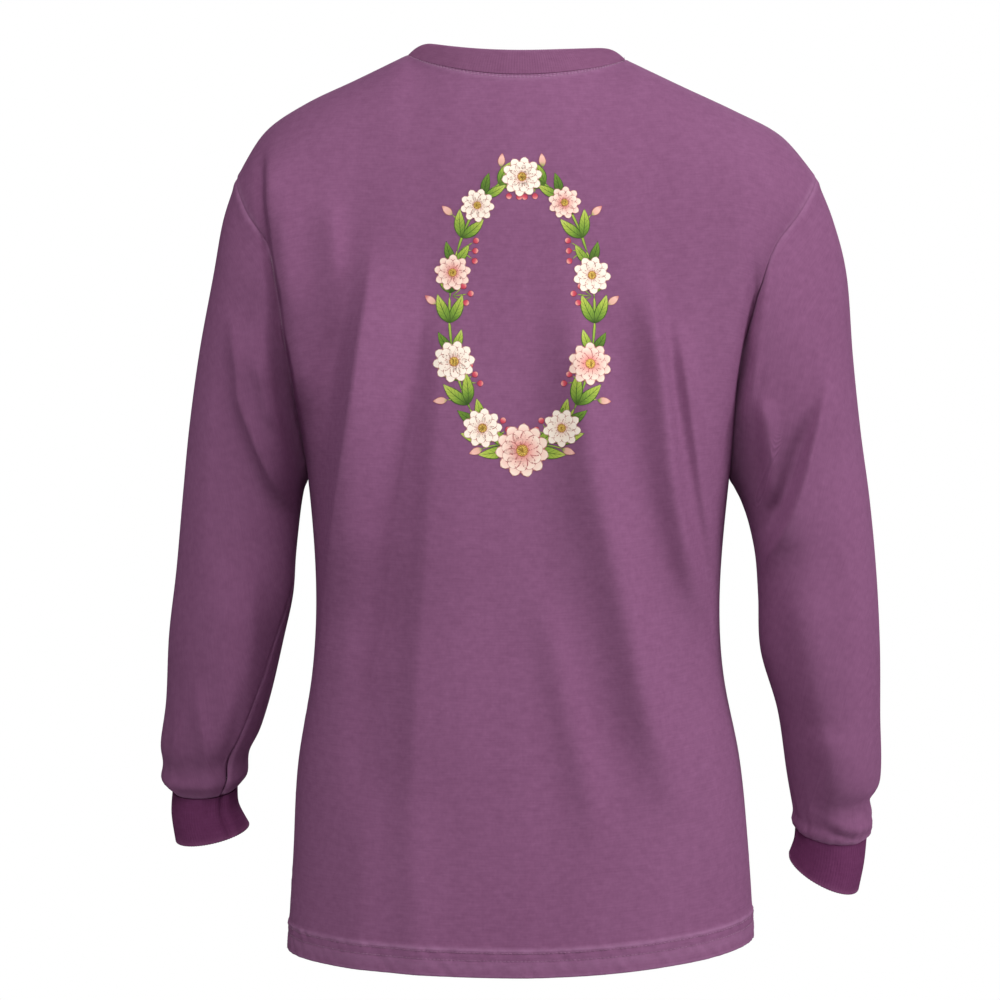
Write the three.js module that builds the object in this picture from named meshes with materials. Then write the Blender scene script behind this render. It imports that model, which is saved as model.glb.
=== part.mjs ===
// A long-sleeved crew-neck T-shirt in the shape that it takes when it is worn: two body panels,
// two sleeves, rib collar and cuffs, the tape inside the neck, the ink printed on the back, and
// the threads of its hem and seams.
// Millimetres. +Z runs up the spine, +Y from the back of the shirt to its front, and +X to the
// wearer's right. The origin is on the centre line, level with the top of the shoulders.
import * as THREE from "three";

// ---- Driving dimensions -------------------------------------------------------------------------

const CLOTH = 0.8; // thickness of the jersey
const RIB = 1.6; // thickness of the doubled rib of the collar and cuffs
const SEAM_GAP = 0.4; // clearance between pieces that are sewn edge to edge
const LAY_GAP = 0.4; // clearance between a thread or tape and the cloth it lies on
const NECK_LAY_GAP = 1.2; // the same at the neck, where the cloth twists between its corners
const THREAD = 0.5; // half the thickness of a line of stitches
const SEAM_INSET = 1.5; // from the inside of the cloth to the middle of an inner seam
const HEM_DEPTH = 22;
const HEM_STEP = 2; // height of the step where the folded hem ends
const HEM_ROWS = [19, 13]; // the two rows of stitches, above the edge of the hem
const TAPE = { width: 9, thickness: 0.5, below: 2 }; // and how far it starts below the seam
const INK = { thickness: 0.4, stand: 1 }; // and how far its underside stands off the cloth

// Sections of the body from the hem up to the underarm: the half-widths on the wearer's left and
// right, and how far the back and the front stand from the middle plane.
const BODY = [
  { z: -722, left: 185, right: 186, back: 124, front: 119 },
  { z: -644.6, left: 181, right: 182, back: 121, front: 116 },
  { z: -567.2, left: 177, right: 175, back: 116, front: 114 },
  { z: -489.8, left: 165, right: 161, back: 113, front: 114 },
  { z: -412.4, left: 162, right: 159, back: 115, front: 117 },
  { z: -335, left: 169, right: 167, back: 118, front: 120 },
];
const BODY_SQUARENESS = 2.5; // 2 is an ellipse
const HEM_RISE = { left: 11, right: 21 }; // of the hem at the sides

// The neck opening: the middle of the collar's seam and of its edge, behind and in front.
const NECK = { back: { y: -66, z: -21.5 }, front: { y: 66, z: -92 } };
const COLLAR = { side: 17, back: { y: -55, z: -1.5 }, front: { y: 53, z: -72 }, lift: 2.5 };
const COLLAR_RISE = 9.5; // of the collar's edge over its seam, at the sides
const NECK_SHARE = 0.4; // share of a panel's columns that end at the neck
const NECK_LEAN = 0.86; // how much of its roll a panel has made where it meets the collar
const NECK_DIP = { back: 1.6, front: 1.25 }; // how sharply the neckline dips to its middle

// The shoulder seams from the neck to the armhole: distance from the middle, and height.
const SHOULDER = {
  left: [[90, 0], [131, -20], [171, -39], [204, -62], [226, -98]],
  right: [[85, -4], [129, -25], [172, -45], [209, -65], [236, -97]],
};
// How squarely the body rolls over the shoulder: in the middle, beside the neck, at the armhole.
const ROLL = { back: [2.6, 2.6, 2.6], front: [2, 1.4, 1.9] };

// The armhole from the underarm up to the shoulder: the share of its way out, at even heights,
// and how far it stands from the middle plane low down and high up.
const ARMHOLE_SWEEP = [0, 0.04, 0.09, 0.16, 0.25, 0.35, 0.48, 0.84, 1];
const ARMHOLE = { low: 44, high: 78 };
const ARMHOLE_REACH = 0.35; // how near to the middle of a panel the armhole shapes it

// Each sleeve lies between an outer and an inner line, [distance from the middle, height], and is
// as deep as depth says on each side of its middle y. Its back hangs lower than its middle by dip,
// because the forearm leans forwards.
const SLEEVE = {
  left: [
    { outer: [226, -98], inner: [169, -335], depth: 62, y: 0, dip: 0 },
    { outer: [237, -131], inner: [171, -341], depth: 62, y: 1, dip: 0 },
    { outer: [245, -175], inner: [173, -348], depth: 63, y: 1, dip: 0 },
    { outer: [256, -235], inner: [175, -360], depth: 62, y: 0, dip: 0 },
    { outer: [264, -295], inner: [177, -378], depth: 59, y: -2, dip: 0 },
    { outer: [269, -350], inner: [179, -400], depth: 56, y: -5, dip: 0 },
    { outer: [274, -410], inner: [181, -430], depth: 53, y: -8, dip: 0 },
    { outer: [280, -462], inner: [188, -463], depth: 49, y: -7, dip: 1 },
    { outer: [283, -515], inner: [200, -513], depth: 45, y: 0, dip: 2 },
    { outer: [289, -562], inner: [214, -555], depth: 39, y: 9, dip: 4 },
    { outer: [279, -588], inner: [227, -585], depth: 28, y: 14, dip: 7 },
  ],
  right: [
    { outer: [236, -97], inner: [167, -335], depth: 62, y: 0, dip: 0 },
    { outer: [250, -131], inner: [169, -340], depth: 62, y: 1, dip: 0 },
    { outer: [261, -175], inner: [172, -346], depth: 63, y: 1, dip: 0 },
    { outer: [266, -240], inner: [177, -356], depth: 63, y: 0, dip: 0 },
    { outer: [272, -300], inner: [183, -374], depth: 60, y: -2, dip: 0 },
    { outer: [279, -355], inner: [188, -400], depth: 57, y: -5, dip: 0 },
    { outer: [284, -412], inner: [190, -432], depth: 53, y: -8, dip: 0 },
    { outer: [287, -470], inner: [192, -475], depth: 49, y: -7, dip: 1 },
    { outer: [288, -525], inner: [206, -523], depth: 46, y: 0, dip: 3 },
    { outer: [289, -578], inner: [214, -573], depth: 41, y: 10, dip: 6 },
    { outer: [279, -624], inner: [222, -618], depth: 30, y: 18, dip: 9 },
  ],
};
const CUFF = {
  left: [
    { outer: [279, -588], inner: [227, -585], depth: 28, y: 14, dip: 7 },
    { outer: [280, -606], inner: [226, -600], depth: 28, y: 16, dip: 7 },
    { outer: [277, -628], inner: [218, -616], depth: 29, y: 19, dip: 7 },
  ],
  right: [
    { outer: [279, -624], inner: [222, -618], depth: 30, y: 18, dip: 9 },
    { outer: [277, -645], inner: [221, -630], depth: 29, y: 20, dip: 10 },
    { outer: [273, -666], inner: [217, -642], depth: 30, y: 23, dip: 11 },
  ],
};
// How far a sleeve has turned on the forearm where it meets the cuff, in turns, and the share of
// the sleeve where that starts.
const TWIST = { left: 0.15, right: 0 };
const TWIST_START = 0.4;
const ARMHOLE_BLEND = 0.35; // share of the sleeve over which the armhole's shape fades out

// The printed garland, an oval band on the back: its middle as shares of the panel's width and
// rows, its half-sizes to the middle of the band, and half the width of the band.
const GARLAND = { column: 0, row: 1.36, halfWidth: 0.24, halfHeight: 0.29, band: 0.24 };

const COLUMNS = 20; // across a panel
const NECK_COLUMNS = Math.round(COLUMNS * NECK_SHARE); // of those, the ones that end at the neck
const LOWER_ROWS = 9; // from the hem's step to the underarm
const UPPER_ROWS = 10; // from the underarm to the upper edge
const LAST_ROW = 1.965; // the narrow row along the upper edge starts this high
const PANEL_ROWS = 3 + LOWER_ROWS + UPPER_ROWS;
const ARM_SEGMENTS = 2 * UPPER_ROWS; // round a sleeve or cuff
const SLEEVE_ROWS = 15;
const CUFF_ROWS = 3;
const COLLAR_ROWS = 3;
const INK_SEGMENTS = 48;
const INK_ROWS = 3;
const THREAD_SIDES = 4;
const NORMAL_STEP = 0.004; // how far apart a surface is read to find its normal
const TAU = 2 * Math.PI;

const JERSEY = { color: 0x7d5078, roughness: 0.9, metalness: 0 };
const RIB_KNIT = { color: 0x6d4068, roughness: 0.92, metalness: 0 };
const COTTON = { color: 0x8c6088, roughness: 0.7, metalness: 0 };
const TWILL = { color: 0x6a4066, roughness: 0.9, metalness: 0 };
const PRINT = { color: 0xc9c08a, roughness: 0.75, metalness: 0 };

// ---- Small helpers ------------------------------------------------------------------------------

const mix = THREE.MathUtils.lerp;
const ease = (t) => THREE.MathUtils.smoothstep(t, 0, 1);
const sideOf = (s) => (s < 0 ? "left" : "right");
const vec = (x, y, z) => new THREE.Vector3(x, y, z);

/** A value read from evenly spaced stations, on a Catmull-Rom curve; t runs from 0 to 1. */
function along(stations, t, read) {
  const last = stations.length - 1;
  const i = Math.min(last - 1, Math.floor(t * last));
  const f = t * last - i;
  const [a, b, c, d] = [i - 1, i, i + 1, i + 2].map((k) =>
    read(stations[THREE.MathUtils.clamp(k, 0, last)]),
  );
  return b + 0.5 * f * (c - a + f * (2 * a - 5 * b + 4 * c - d + f * (3 * (b - c) + d - a)));
}

/** The normal of a surface at (u, v), whose v stays between 0 and vLast. */
function normalOf(surface, u, v, vLast) {
  const du = surface(u + NORMAL_STEP, v).sub(surface(u - NORMAL_STEP, v));
  const above = surface(u, Math.min(vLast, v + NORMAL_STEP));
  const dv = above.sub(surface(u, Math.max(0, v - NORMAL_STEP)));
  return du.cross(dv).normalize();
}

/** Moves each vertex of a geometry to where place(position, uv) says. */
function reshape(geometry, place) {
  const position = geometry.getAttribute("position");
  const uv = geometry.getAttribute("uv");
  for (let i = 0; i < position.count; i++) {
    const p = new THREE.Vector3().fromBufferAttribute(position, i);
    const w = new THREE.Vector2().fromBufferAttribute(uv, i);
    position.setXYZ(i, ...place(p, w));
  }
  geometry.computeVertexNormals();
  return geometry;
}

/** Turns the diagonals of the quads that picks(quad) says, so that the inside of a thin wall bends
 *  along the same lines as its outside, and the two can't pass through each other. */
function turnDiagonals(geometry, picks) {
  const index = geometry.getIndex().array;
  for (let i = 0; i < index.length; i += 6) {
    if (!picks(i / 6)) continue;
    const [a, b, d] = index.slice(i, i + 3);
    const c = index.slice(i + 3, i + 6).find((corner) => ![a, b, d].includes(corner));
    index.set([a, b, c, a, c, d], i);
  }
  return geometry;
}

/** A sheet of columns and rows, with at(column, row, outside) for each of its corners. */
function sheet(columns, rows, at) {
  const box = new THREE.BoxGeometry(1, 1, 1, columns, rows, 1);
  const inside = box.groups.at(-1).start / 6;
  return reshape(turnDiagonals(box, (quad) => quad >= inside), (p) =>
    at(Math.round((p.x + 0.5) * columns), Math.round((p.y + 0.5) * rows), p.z > 0),
  );
}

/** A tube of cloth: surface(turn, t) is its outside, and facing is 1 where turn x t points out. */
function tube(surface, segments, rows, wall, facing) {
  const outside = Array.from({ length: rows + 1 }, (_, row) => new THREE.Vector2(2, row));
  const inside = outside.map(({ y }) => new THREE.Vector2(1, y)).reverse();
  const profile = [...outside, ...inside, outside[0]];
  const isInner = (quad) => quad % (2 * rows + 2) > rows && quad % (2 * rows + 2) <= 2 * rows;
  const lathe = turnDiagonals(new THREE.LatheGeometry(profile, segments), isInner);
  return reshape(lathe, (_, uv) => {
    const step = Math.round(uv.y * (profile.length - 1)) % (profile.length - 1);
    const isOutside = step <= rows;
    const t = (isOutside ? step : 2 * rows + 1 - step) / rows;
    const share = Math.round(uv.x * segments) % segments;
    const turn = (facing > 0 ? share : (segments - share) % segments) / segments;
    const point = surface(turn, t);
    const normal = normalOf(surface, turn, t, 1).multiplyScalar(facing);
    return isOutside ? point : point.addScaledVector(normal, -wall);
  });
}

/** A closed ring of thread through count knots; at(i) gives each one's centre and its normal. */
function threadRing(count, at) {
  const knots = Array.from({ length: count }, (_, i) => at(i));
  return reshape(new THREE.TorusGeometry(2, 1, THREAD_SIDES, count), (_, uv) => {
    const i = Math.round(uv.x * count) % count;
    const angle = ((Math.round(uv.y * THREAD_SIDES) % THREAD_SIDES) / THREAD_SIDES) * TAU;
    const ahead = knots[(i + 1) % count].centre.clone().sub(knots[(i + count - 1) % count].centre);
    const across = vec().crossVectors(knots[i].normal, ahead).normalize();
    return knots[i].centre
      .clone()
      .addScaledVector(knots[i].normal, THREAD * Math.cos(angle))
      .addScaledVector(across, THREAD * Math.sin(angle));
  });
}

/** A line of thread with two ends, through a list of points. */
function threadLine(points) {
  const section = new THREE.Shape();
  section.absarc(0, 0, THREAD, 0, TAU);
  return new THREE.ExtrudeGeometry(section, {
    extrudePath: new THREE.CatmullRomCurve3(points),
    steps: points.length - 1,
    curveSegments: THREAD_SIDES,
  });
}

// ---- The surfaces of the cloth ------------------------------------------------------------------

/** The body below the underarm. face is -1 for the back and 1 for the front, s runs from the
 *  wearer's left side (-1) to the right (1), and t from the hem (0) to the underarm (1). */
function lowerBody(face, s, t) {
  const side = sideOf(s);
  const angle = (s * Math.PI) / 2;
  const [across, out] = [Math.sin(angle), Math.cos(angle)];
  const power = BODY_SQUARENESS;
  const reach = (Math.abs(across) ** power + Math.abs(out) ** power) ** (-1 / power);
  const rise = HEM_RISE[side] * (1 - t) ** 2 * across ** 2;
  return vec(
    along(BODY, t, (b) => b[side]) * reach * across,
    face * along(BODY, t, (b) => (face < 0 ? b.back : b.front)) * reach * out,
    along(BODY, t, (b) => b.z) + rise,
  );
}

/** The upper edge of a panel: the neck seam in its middle and the shoulder seams at its ends. */
function upperEdge(face, s) {
  const line = SHOULDER[sideOf(s)];
  const away = Math.abs(s);
  if (away > NECK_SHARE) {
    const t = (away - NECK_SHARE) / (1 - NECK_SHARE);
    return vec(Math.sign(s) * along(line, t, (p) => p[0]), 0, along(line, t, (p) => p[1]));
  }
  const angle = (s / NECK_SHARE) * (Math.PI / 2);
  const [middle, dip] = face < 0 ? [NECK.back, NECK_DIP.back] : [NECK.front, NECK_DIP.front];
  const [neckHalf, neckTop] = line[0];
  return vec(
    neckHalf * Math.sin(angle),
    middle.y * Math.cos(angle),
    mix(neckTop, middle.z, Math.cos(angle) ** dip),
  );
}

/** How far the armhole stands from the middle plane, at a share of its height. */
const armholeDepth = (f) => mix(ARMHOLE.low, ARMHOLE.high, f) * 2 * Math.sqrt(f * (1 - f));

/** The body above the underarm, where it rolls over the shoulder; t runs from 0 to 1. */
function upperBody(face, s, t) {
  const away = Math.abs(s);
  const low = lowerBody(face, s, 1);
  const high = upperEdge(face, s);
  const f = (1 - Math.cos(Math.PI * t)) / 2;
  const [middle, beside, arm] = face < 0 ? ROLL.back : ROLL.front;
  const pastNeck = ease((away - NECK_SHARE) / (1 - NECK_SHARE));
  const power = mix(mix(middle, beside, ease(away / NECK_SHARE)), arm, pastNeck);
  const lean = mix(NECK_LEAN, 1, ease(away / NECK_SHARE));
  const rest = (1 - lean ** power) ** (1 / power);
  const out = (Math.max(0, 1 - (f * lean) ** power) ** (1 / power) - rest) / (1 - rest);
  const sweep = mix(f ** 1.5, along(ARMHOLE_SWEEP, f, (share) => share), away ** 4);
  const edge = ease((away - ARMHOLE_REACH) / (1 - ARMHOLE_REACH));
  return vec(
    mix(low.x, high.x, sweep),
    mix(high.y, low.y, out) + face * armholeDepth(f) * edge,
    mix(low.z, high.z, f),
  );
}

/** A whole panel: t runs from 0 at the hem to 1 at the underarm and 2 at the upper edge. */
const panelSurface = (face) => (s, t) => {
  const inPanel = THREE.MathUtils.clamp(s, -1, 1);
  const p = t <= 1 ? lowerBody(face, inPanel, t) : upperBody(face, inPanel, t - 1);
  return p.add(vec(0, (face * SEAM_GAP) / 2, 0));
};

/** The ring of a sleeve or cuff at t; turn runs once round, from the underarm by the back. */
const armRing = (stations, sign, turn, t) => {
  const read = (key, k) => along(stations, t, (s) => (k === undefined ? s[key] : s[key][k]));
  const outer = vec(sign * read("outer", 0), read("y"), read("outer", 1));
  const inner = vec(sign * read("inner", 0), read("y"), read("inner", 1));
  const back = Math.sin(TAU * turn);
  const p = inner.lerp(outer, (1 - Math.cos(TAU * turn)) / 2);
  return p.add(vec(0, -back * read("depth"), -back * read("dip")));
};

/** A sleeve, whose top ring follows the armhole, and whose shape fades into plain rings. */
const sleeveSurface = (sign) => (turn, t) => {
  const stations = SLEEVE[sideOf(sign)];
  const round = THREE.MathUtils.euclideanModulo(turn, 1);
  const isBehind = round <= 0.5;
  const armhole = upperBody(isBehind ? -1 : 1, sign, isBehind ? round * 2 : 2 - round * 2);
  const fade = 1 - ease(t / ARMHOLE_BLEND);
  const twist = TWIST[sideOf(sign)] * ease((t - TWIST_START) / (1 - TWIST_START));
  const p = armRing(stations, sign, round + twist, t);
  p.addScaledVector(armhole.sub(armRing(stations, sign, round, 0)), fade);
  return p.add(vec(sign * SEAM_GAP, 0, 0));
};

const cuffSurface = (sign) => (turn, t) => {
  const side = sideOf(sign);
  const p = armRing(CUFF[side], sign, turn + TWIST[side], t);
  return p.add(vec(sign * SEAM_GAP, 0, -SEAM_GAP));
};

/** The collar: turn runs once round the neck from the middle of the back, and t up the band. */
function collarSurface(turn, t) {
  const round = THREE.MathUtils.euclideanModulo(turn + 0.25, 1) - 0.25;
  const face = round < 0.25 ? -1 : 1;
  const quarter = (face < 0 ? round : 0.5 - round) * 4;
  const seam = upperEdge(face, quarter * NECK_SHARE);
  const [neckHalf, neckTop] = SHOULDER[sideOf(quarter)][0];
  const [middle, dip] =
    face < 0 ? [COLLAR.back, NECK_DIP.back] : [COLLAR.front, NECK_DIP.front];
  const angle = (quarter * Math.PI) / 2;
  const edge = vec(
    (neckHalf - COLLAR.side) * Math.sin(angle),
    middle.y * Math.cos(angle),
    mix(neckTop + COLLAR_RISE, middle.z, Math.cos(angle) ** dip),
  );
  const start = SEAM_GAP / seam.distanceTo(edge);
  return seam.lerp(edge, mix(start, 1, t)).add(vec(0, 0, COLLAR.lift * 4 * t * (1 - t)));
}

/** The printed band on the back; turn runs once round it, and t from its inner edge outwards. */
function inkSurface(turn, t) {
  const size = 1 + GARLAND.band * (2 * t - 1);
  return panelSurface(-1)(
    GARLAND.column + GARLAND.halfWidth * size * Math.sin(TAU * turn),
    GARLAND.row - GARLAND.halfHeight * size * Math.cos(TAU * turn),
  );
}

// ---- Places on the panels' grids ----------------------------------------------------------------

/** How high a row of a panel lies: the hem's edge, its fold, its step, then even rows up to the
 *  narrow one along the upper edge. */
function rowHeight(row) {
  const hem = [0, HEM_DEPTH, HEM_DEPTH + HEM_STEP].map((z) => z / (BODY.at(-1).z - BODY[0].z));
  if (row < hem.length) return hem[row];
  if (row <= 2 + LOWER_ROWS) return mix(hem[2], 1, (row - 2) / LOWER_ROWS);
  if (row >= PANEL_ROWS - 1) return row === PANEL_ROWS ? 2 : LAST_ROW;
  return 1 + (row - 2 - LOWER_ROWS) / UPPER_ROWS;
}

/** A corner of a panel's grid, counted from the wearer's left, and its outward normal. */
function panelKnot(face, column, row) {
  const [s, t] = [-1 + (2 * column) / COLUMNS, rowHeight(row)];
  const surface = panelSurface(face);
  return { point: surface(s, t), normal: normalOf(surface, s, t, 2).multiplyScalar(-face) };
}

/** The place away mm from one corner of a grid towards the next, and stand mm off the cloth. */
function place(from, to, away, stand) {
  const share = away / from.point.distanceTo(to.point);
  const normal = from.normal.lerp(to.normal, share).normalize();
  return { centre: from.point.lerp(to.point, share).addScaledVector(normal, stand), normal };
}

/** A place away mm below the upper edge of a panel, measured down one column. */
function belowNeck(face, column, away, stand) {
  let left = away;
  for (let row = PANEL_ROWS; ; row--) {
    const [from, to] = [row, row - 1].map((r) => panelKnot(face, column, r));
    const length = from.point.distanceTo(to.point);
    if (left <= length) return place(from, to, left, stand);
    left -= length;
  }
}

/** Whole numbers from first to last. */
const numbers = (first, last) => Array.from({ length: last - first + 1 }, (_, i) => first + i);
const NECK_START = (COLUMNS - NECK_COLUMNS) / 2;
const NECK_END = (COLUMNS + NECK_COLUMNS) / 2;

// ---- The pieces ---------------------------------------------------------------------------------

function panelGeometry(face) {
  return sheet(COLUMNS, PANEL_ROWS, (i, row, outside) => {
    const { point, normal } = panelKnot(face, face < 0 ? i : COLUMNS - i, row);
    const wall = row < 2 ? 2 * CLOTH : CLOTH;
    return outside ? point : point.addScaledVector(normal, -wall);
  });
}

/** A row of stitches round the hem, so far above its edge. */
function hemThreadGeometry(height) {
  const behind = numbers(0, COLUMNS).map((column) => [-1, column]);
  const inFront = numbers(0, COLUMNS).map((column) => [1, COLUMNS - column]);
  const round = [...behind, ...inFront];
  return threadRing(round.length, (i) => {
    const [face, column] = round[i];
    const [edge, fold] = [0, 1].map((row) => panelKnot(face, column, row));
    return place(edge, fold, height, LAY_GAP + THREAD);
  });
}

/** The row of stitches along the collar's seam, standing half up and half out from it. */
function collarThreadGeometry() {
  const count = 2 * NECK_COLUMNS;
  return threadRing(count, (i) => {
    const seam = collarSurface(i / count, 0);
    const normal = normalOf(collarSurface, i / count, 0, 1).add(vec(0, 0, 1)).normalize();
    return { centre: seam.addScaledVector(normal, NECK_LAY_GAP + THREAD), normal };
  });
}

function neckTapeGeometry() {
  return sheet(NECK_COLUMNS, 1, (i, row, outside) => {
    const away = TAPE.below + (row === 0 ? TAPE.width : 0);
    const stand = -(CLOTH + NECK_LAY_GAP + (outside ? 0 : TAPE.thickness));
    return belowNeck(-1, NECK_START + i, away, stand).centre;
  });
}

function inkGeometry() {
  const raised = (turn, t) => {
    const inward = normalOf(inkSurface, turn, t, 1);
    return inkSurface(turn, t).addScaledVector(inward, -(INK.stand + INK.thickness));
  };
  return tube(raised, INK_SEGMENTS, INK_ROWS, INK.thickness, -1);
}

/** A ring of thread just inside a loop of cloth, the first ring of a sleeve or cuff. */
function seamRing(surface, wall) {
  const middle = surface(0, 0).lerp(surface(0.5, 0), 0.5);
  return threadRing(ARM_SEGMENTS, (i) => {
    const point = surface(i / ARM_SEGMENTS, 0);
    const normal = point.clone().sub(middle).normalize();
    return { centre: point.addScaledVector(normal, -(wall + SEAM_INSET)), normal };
  });
}

/** The seam inside a shoulder, from beside the neck to beside the armhole. */
function shoulderThreadGeometry(sign) {
  const neckCorner = sign < 0 ? NECK_START : NECK_END;
  const columns = numbers(1, (COLUMNS - NECK_COLUMNS) / 2 - 1).map((k) => neckCorner + sign * k);
  return threadLine(
    columns.map((column) => {
      const { point, normal } = panelKnot(-1, column, PANEL_ROWS);
      const up = normal.setY(0).normalize();
      return point.setY(0).addScaledVector(up, -(CLOTH + SEAM_INSET));
    }),
  );
}

/** The seam inside one side of the body, from above the hem to the underarm. */
function sideThreadGeometry(sign) {
  const column = sign < 0 ? 0 : COLUMNS;
  const inset = vec(sign * (CLOTH + SEAM_INSET), 0, 0);
  const rows = numbers(3, 1 + LOWER_ROWS);
  return threadLine(rows.map((row) => panelKnot(-1, column, row).point.setY(0).sub(inset)));
}

/** The seam inside a sleeve, along the underarm. */
function sleeveThreadGeometry(sign) {
  const surface = sleeveSurface(sign);
  const stand = CLOTH + SEAM_INSET;
  const rows = numbers(1, SLEEVE_ROWS - 1);
  return threadLine(
    rows.map((row) => {
      const t = row / SLEEVE_ROWS;
      return surface(0, t).addScaledVector(normalOf(surface, 0, t, 1), sign * stand);
    }),
  );
}

// ---- The shirt ----------------------------------------------------------------------------------

/** A named piece, added to a group. */
function add(group, name, geometry, look) {
  const mesh = new THREE.Mesh(geometry, new THREE.MeshStandardMaterial(look));
  mesh.name = name;
  group.add(mesh);
}

function buildBody() {
  const body = new THREE.Group();
  add(body, "back_panel", panelGeometry(-1), JERSEY);
  add(body, "front_panel", panelGeometry(1), JERSEY);
  add(body, "print_ink", inkGeometry(), PRINT);
  add(body, "hem_thread_upper", hemThreadGeometry(HEM_ROWS[0]), COTTON);
  add(body, "hem_thread_lower", hemThreadGeometry(HEM_ROWS[1]), COTTON);
  return body;
}

function buildNeck() {
  const neck = new THREE.Group();
  add(neck, "collar_rib", tube(collarSurface, 2 * NECK_COLUMNS, COLLAR_ROWS, RIB, 1), RIB_KNIT);
  add(neck, "collar_thread", collarThreadGeometry(), COTTON);
  add(neck, "neck_tape", neckTapeGeometry(), TWILL);
  return neck;
}

function buildArm(sign) {
  const arm = new THREE.Group();
  const side = sideOf(sign);
  const sleeve = tube(sleeveSurface(sign), ARM_SEGMENTS, SLEEVE_ROWS, CLOTH, -sign);
  const cuff = tube(cuffSurface(sign), ARM_SEGMENTS, CUFF_ROWS, RIB, -sign);
  add(arm, `${side}_sleeve`, sleeve, JERSEY);
  add(arm, `${side}_cuff_rib`, cuff, RIB_KNIT);
  add(arm, `${side}_armhole_thread`, seamRing(sleeveSurface(sign), CLOTH), COTTON);
  add(arm, `${side}_cuff_thread`, seamRing(cuffSurface(sign), RIB), COTTON);
  add(arm, `${side}_shoulder_thread`, shoulderThreadGeometry(sign), COTTON);
  add(arm, `${side}_side_thread`, sideThreadGeometry(sign), COTTON);
  add(arm, `${side}_sleeve_thread`, sleeveThreadGeometry(sign), COTTON);
  return arm;
}

const shirt = new THREE.Group();
shirt.add(buildBody(), buildNeck(), buildArm(-1), buildArm(1));

export default shirt;
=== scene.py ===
"""A long-sleeved crew-neck T-shirt in the shape that it takes when it is worn.

Sizes are in millimetres in the classes and become metres when a mesh is made. The frame is the
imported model's: +Z runs up the spine, +Y from the back of the shirt to its front, and +X to the
wearer's right, with the origin level with the top of the shoulders.
"""

import logging
import math
from collections.abc import Callable, Sequence
from dataclasses import dataclass, field
from enum import Enum

import bmesh
import bpy
import numpy as np
from mathutils import Matrix, Vector
from mathutils.bvhtree import BVHTree


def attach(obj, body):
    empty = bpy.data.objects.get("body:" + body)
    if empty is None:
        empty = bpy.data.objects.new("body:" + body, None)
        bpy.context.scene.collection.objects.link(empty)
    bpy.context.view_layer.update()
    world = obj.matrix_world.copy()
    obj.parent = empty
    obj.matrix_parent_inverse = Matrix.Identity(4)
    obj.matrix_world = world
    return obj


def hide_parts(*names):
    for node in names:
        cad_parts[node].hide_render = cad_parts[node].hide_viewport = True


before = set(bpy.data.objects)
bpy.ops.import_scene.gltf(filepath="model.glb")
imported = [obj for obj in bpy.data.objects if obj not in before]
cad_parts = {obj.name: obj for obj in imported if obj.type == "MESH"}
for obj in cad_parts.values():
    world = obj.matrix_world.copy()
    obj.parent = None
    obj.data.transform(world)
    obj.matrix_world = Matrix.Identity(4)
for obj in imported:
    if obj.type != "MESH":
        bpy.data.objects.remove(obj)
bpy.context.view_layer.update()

logging.basicConfig(level=logging.INFO, format="%(levelname)s %(message)s")
LOG = logging.getLogger("shirt")

MM = 0.001
SIDE_STEPS = 5  # over how many steps a grid grows finer towards a seam
EDGE_STEPS = 4  # the same towards the neck, shoulder and armhole
TAU = 2 * math.pi
ROOT = "root"
Colour = tuple[float, float, float]
Points = np.ndarray


class Side(Enum):
    """A side of the wearer, with the sign of its x."""

    LEFT = -1
    RIGHT = 1

    @property
    def word(self) -> str:
        """The side's name as node names begin with it."""
        return self.name.lower()


class Face(Enum):
    """The back or the front of the shirt, with the sign of its y."""

    BACK = -1
    FRONT = 1

    @property
    def word(self) -> str:
        """The face's name as node names begin with it."""
        return self.name.lower()


# ---- Numbers --------------------------------------------------------------------------------


def ease(t: Points) -> Points:
    """A smooth step from 0 to 1 as t goes from 0 to 1."""
    t = np.clip(t, 0, 1)
    return t * t * (3 - 2 * t)


def mix(a: Points, b: Points, t: Points) -> Points:
    """The value a share t of the way from a to b."""
    return a + (b - a) * t


def along(stations: Sequence[float], t: Points) -> Points:
    """A smooth curve through evenly spaced stations.

    Args:
        stations: The values at the stations.
        t: Where to read the curve, from 0 at the first station to 1 at the last.

    Returns:
        The curve's values at t.
    """
    values = np.asarray(stations, float)
    last = len(values) - 1
    at = np.clip(t, 0, 1) * last
    i = np.minimum(at.astype(int), last - 1)
    f = at - i
    a, b, c, d = (values[np.clip(i + k, 0, last)] for k in (-1, 0, 1, 2))
    return b + 0.5 * f * (c - a + f * (2 * a - 5 * b + 4 * c - d + f * (3 * (b - c) + d - a)))


def spread(count: int, fine_start: int = 0, fine_end: int = 0) -> Points:
    """Steps from 0 to 1 that are finer near the ends.

    Args:
        count: How many steps.
        fine_start: Over how many steps they grow to full size at the start.
        fine_end: The same at the end.

    Returns:
        The count + 1 places of the steps' ends.
    """
    steps = np.ones(count)
    steps[:fine_start] = (np.arange(fine_start) + 1) / (fine_start + 1)
    if fine_end:
        steps[-fine_end:] = (np.arange(fine_end)[::-1] + 1) / (fine_end + 1)
    return np.concatenate([[0.0], np.cumsum(steps) / steps.sum()])


def ripples(x: Points, z: Points, length: tuple[float, float], seed: int) -> Points:
    """Soft irregular waves between about -1 and 1.

    Args:
        x: Places across, in mm.
        z: Places along, in mm.
        length: Wavelengths across and along, in mm.
        seed: Picks one of many such patterns.

    Returns:
        The height of the waves at each place.
    """
    rng = np.random.default_rng(seed)
    total = np.zeros_like(x)
    for _ in range(7):
        across, up = rng.normal(0, 1, 2)
        start = rng.uniform(0, TAU)
        total += np.sin(TAU * (x * across / length[0] + z * up / length[1]) + start)
    return total / 4


# ---- The shape of the shirt -----------------------------------------------------------------


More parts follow.
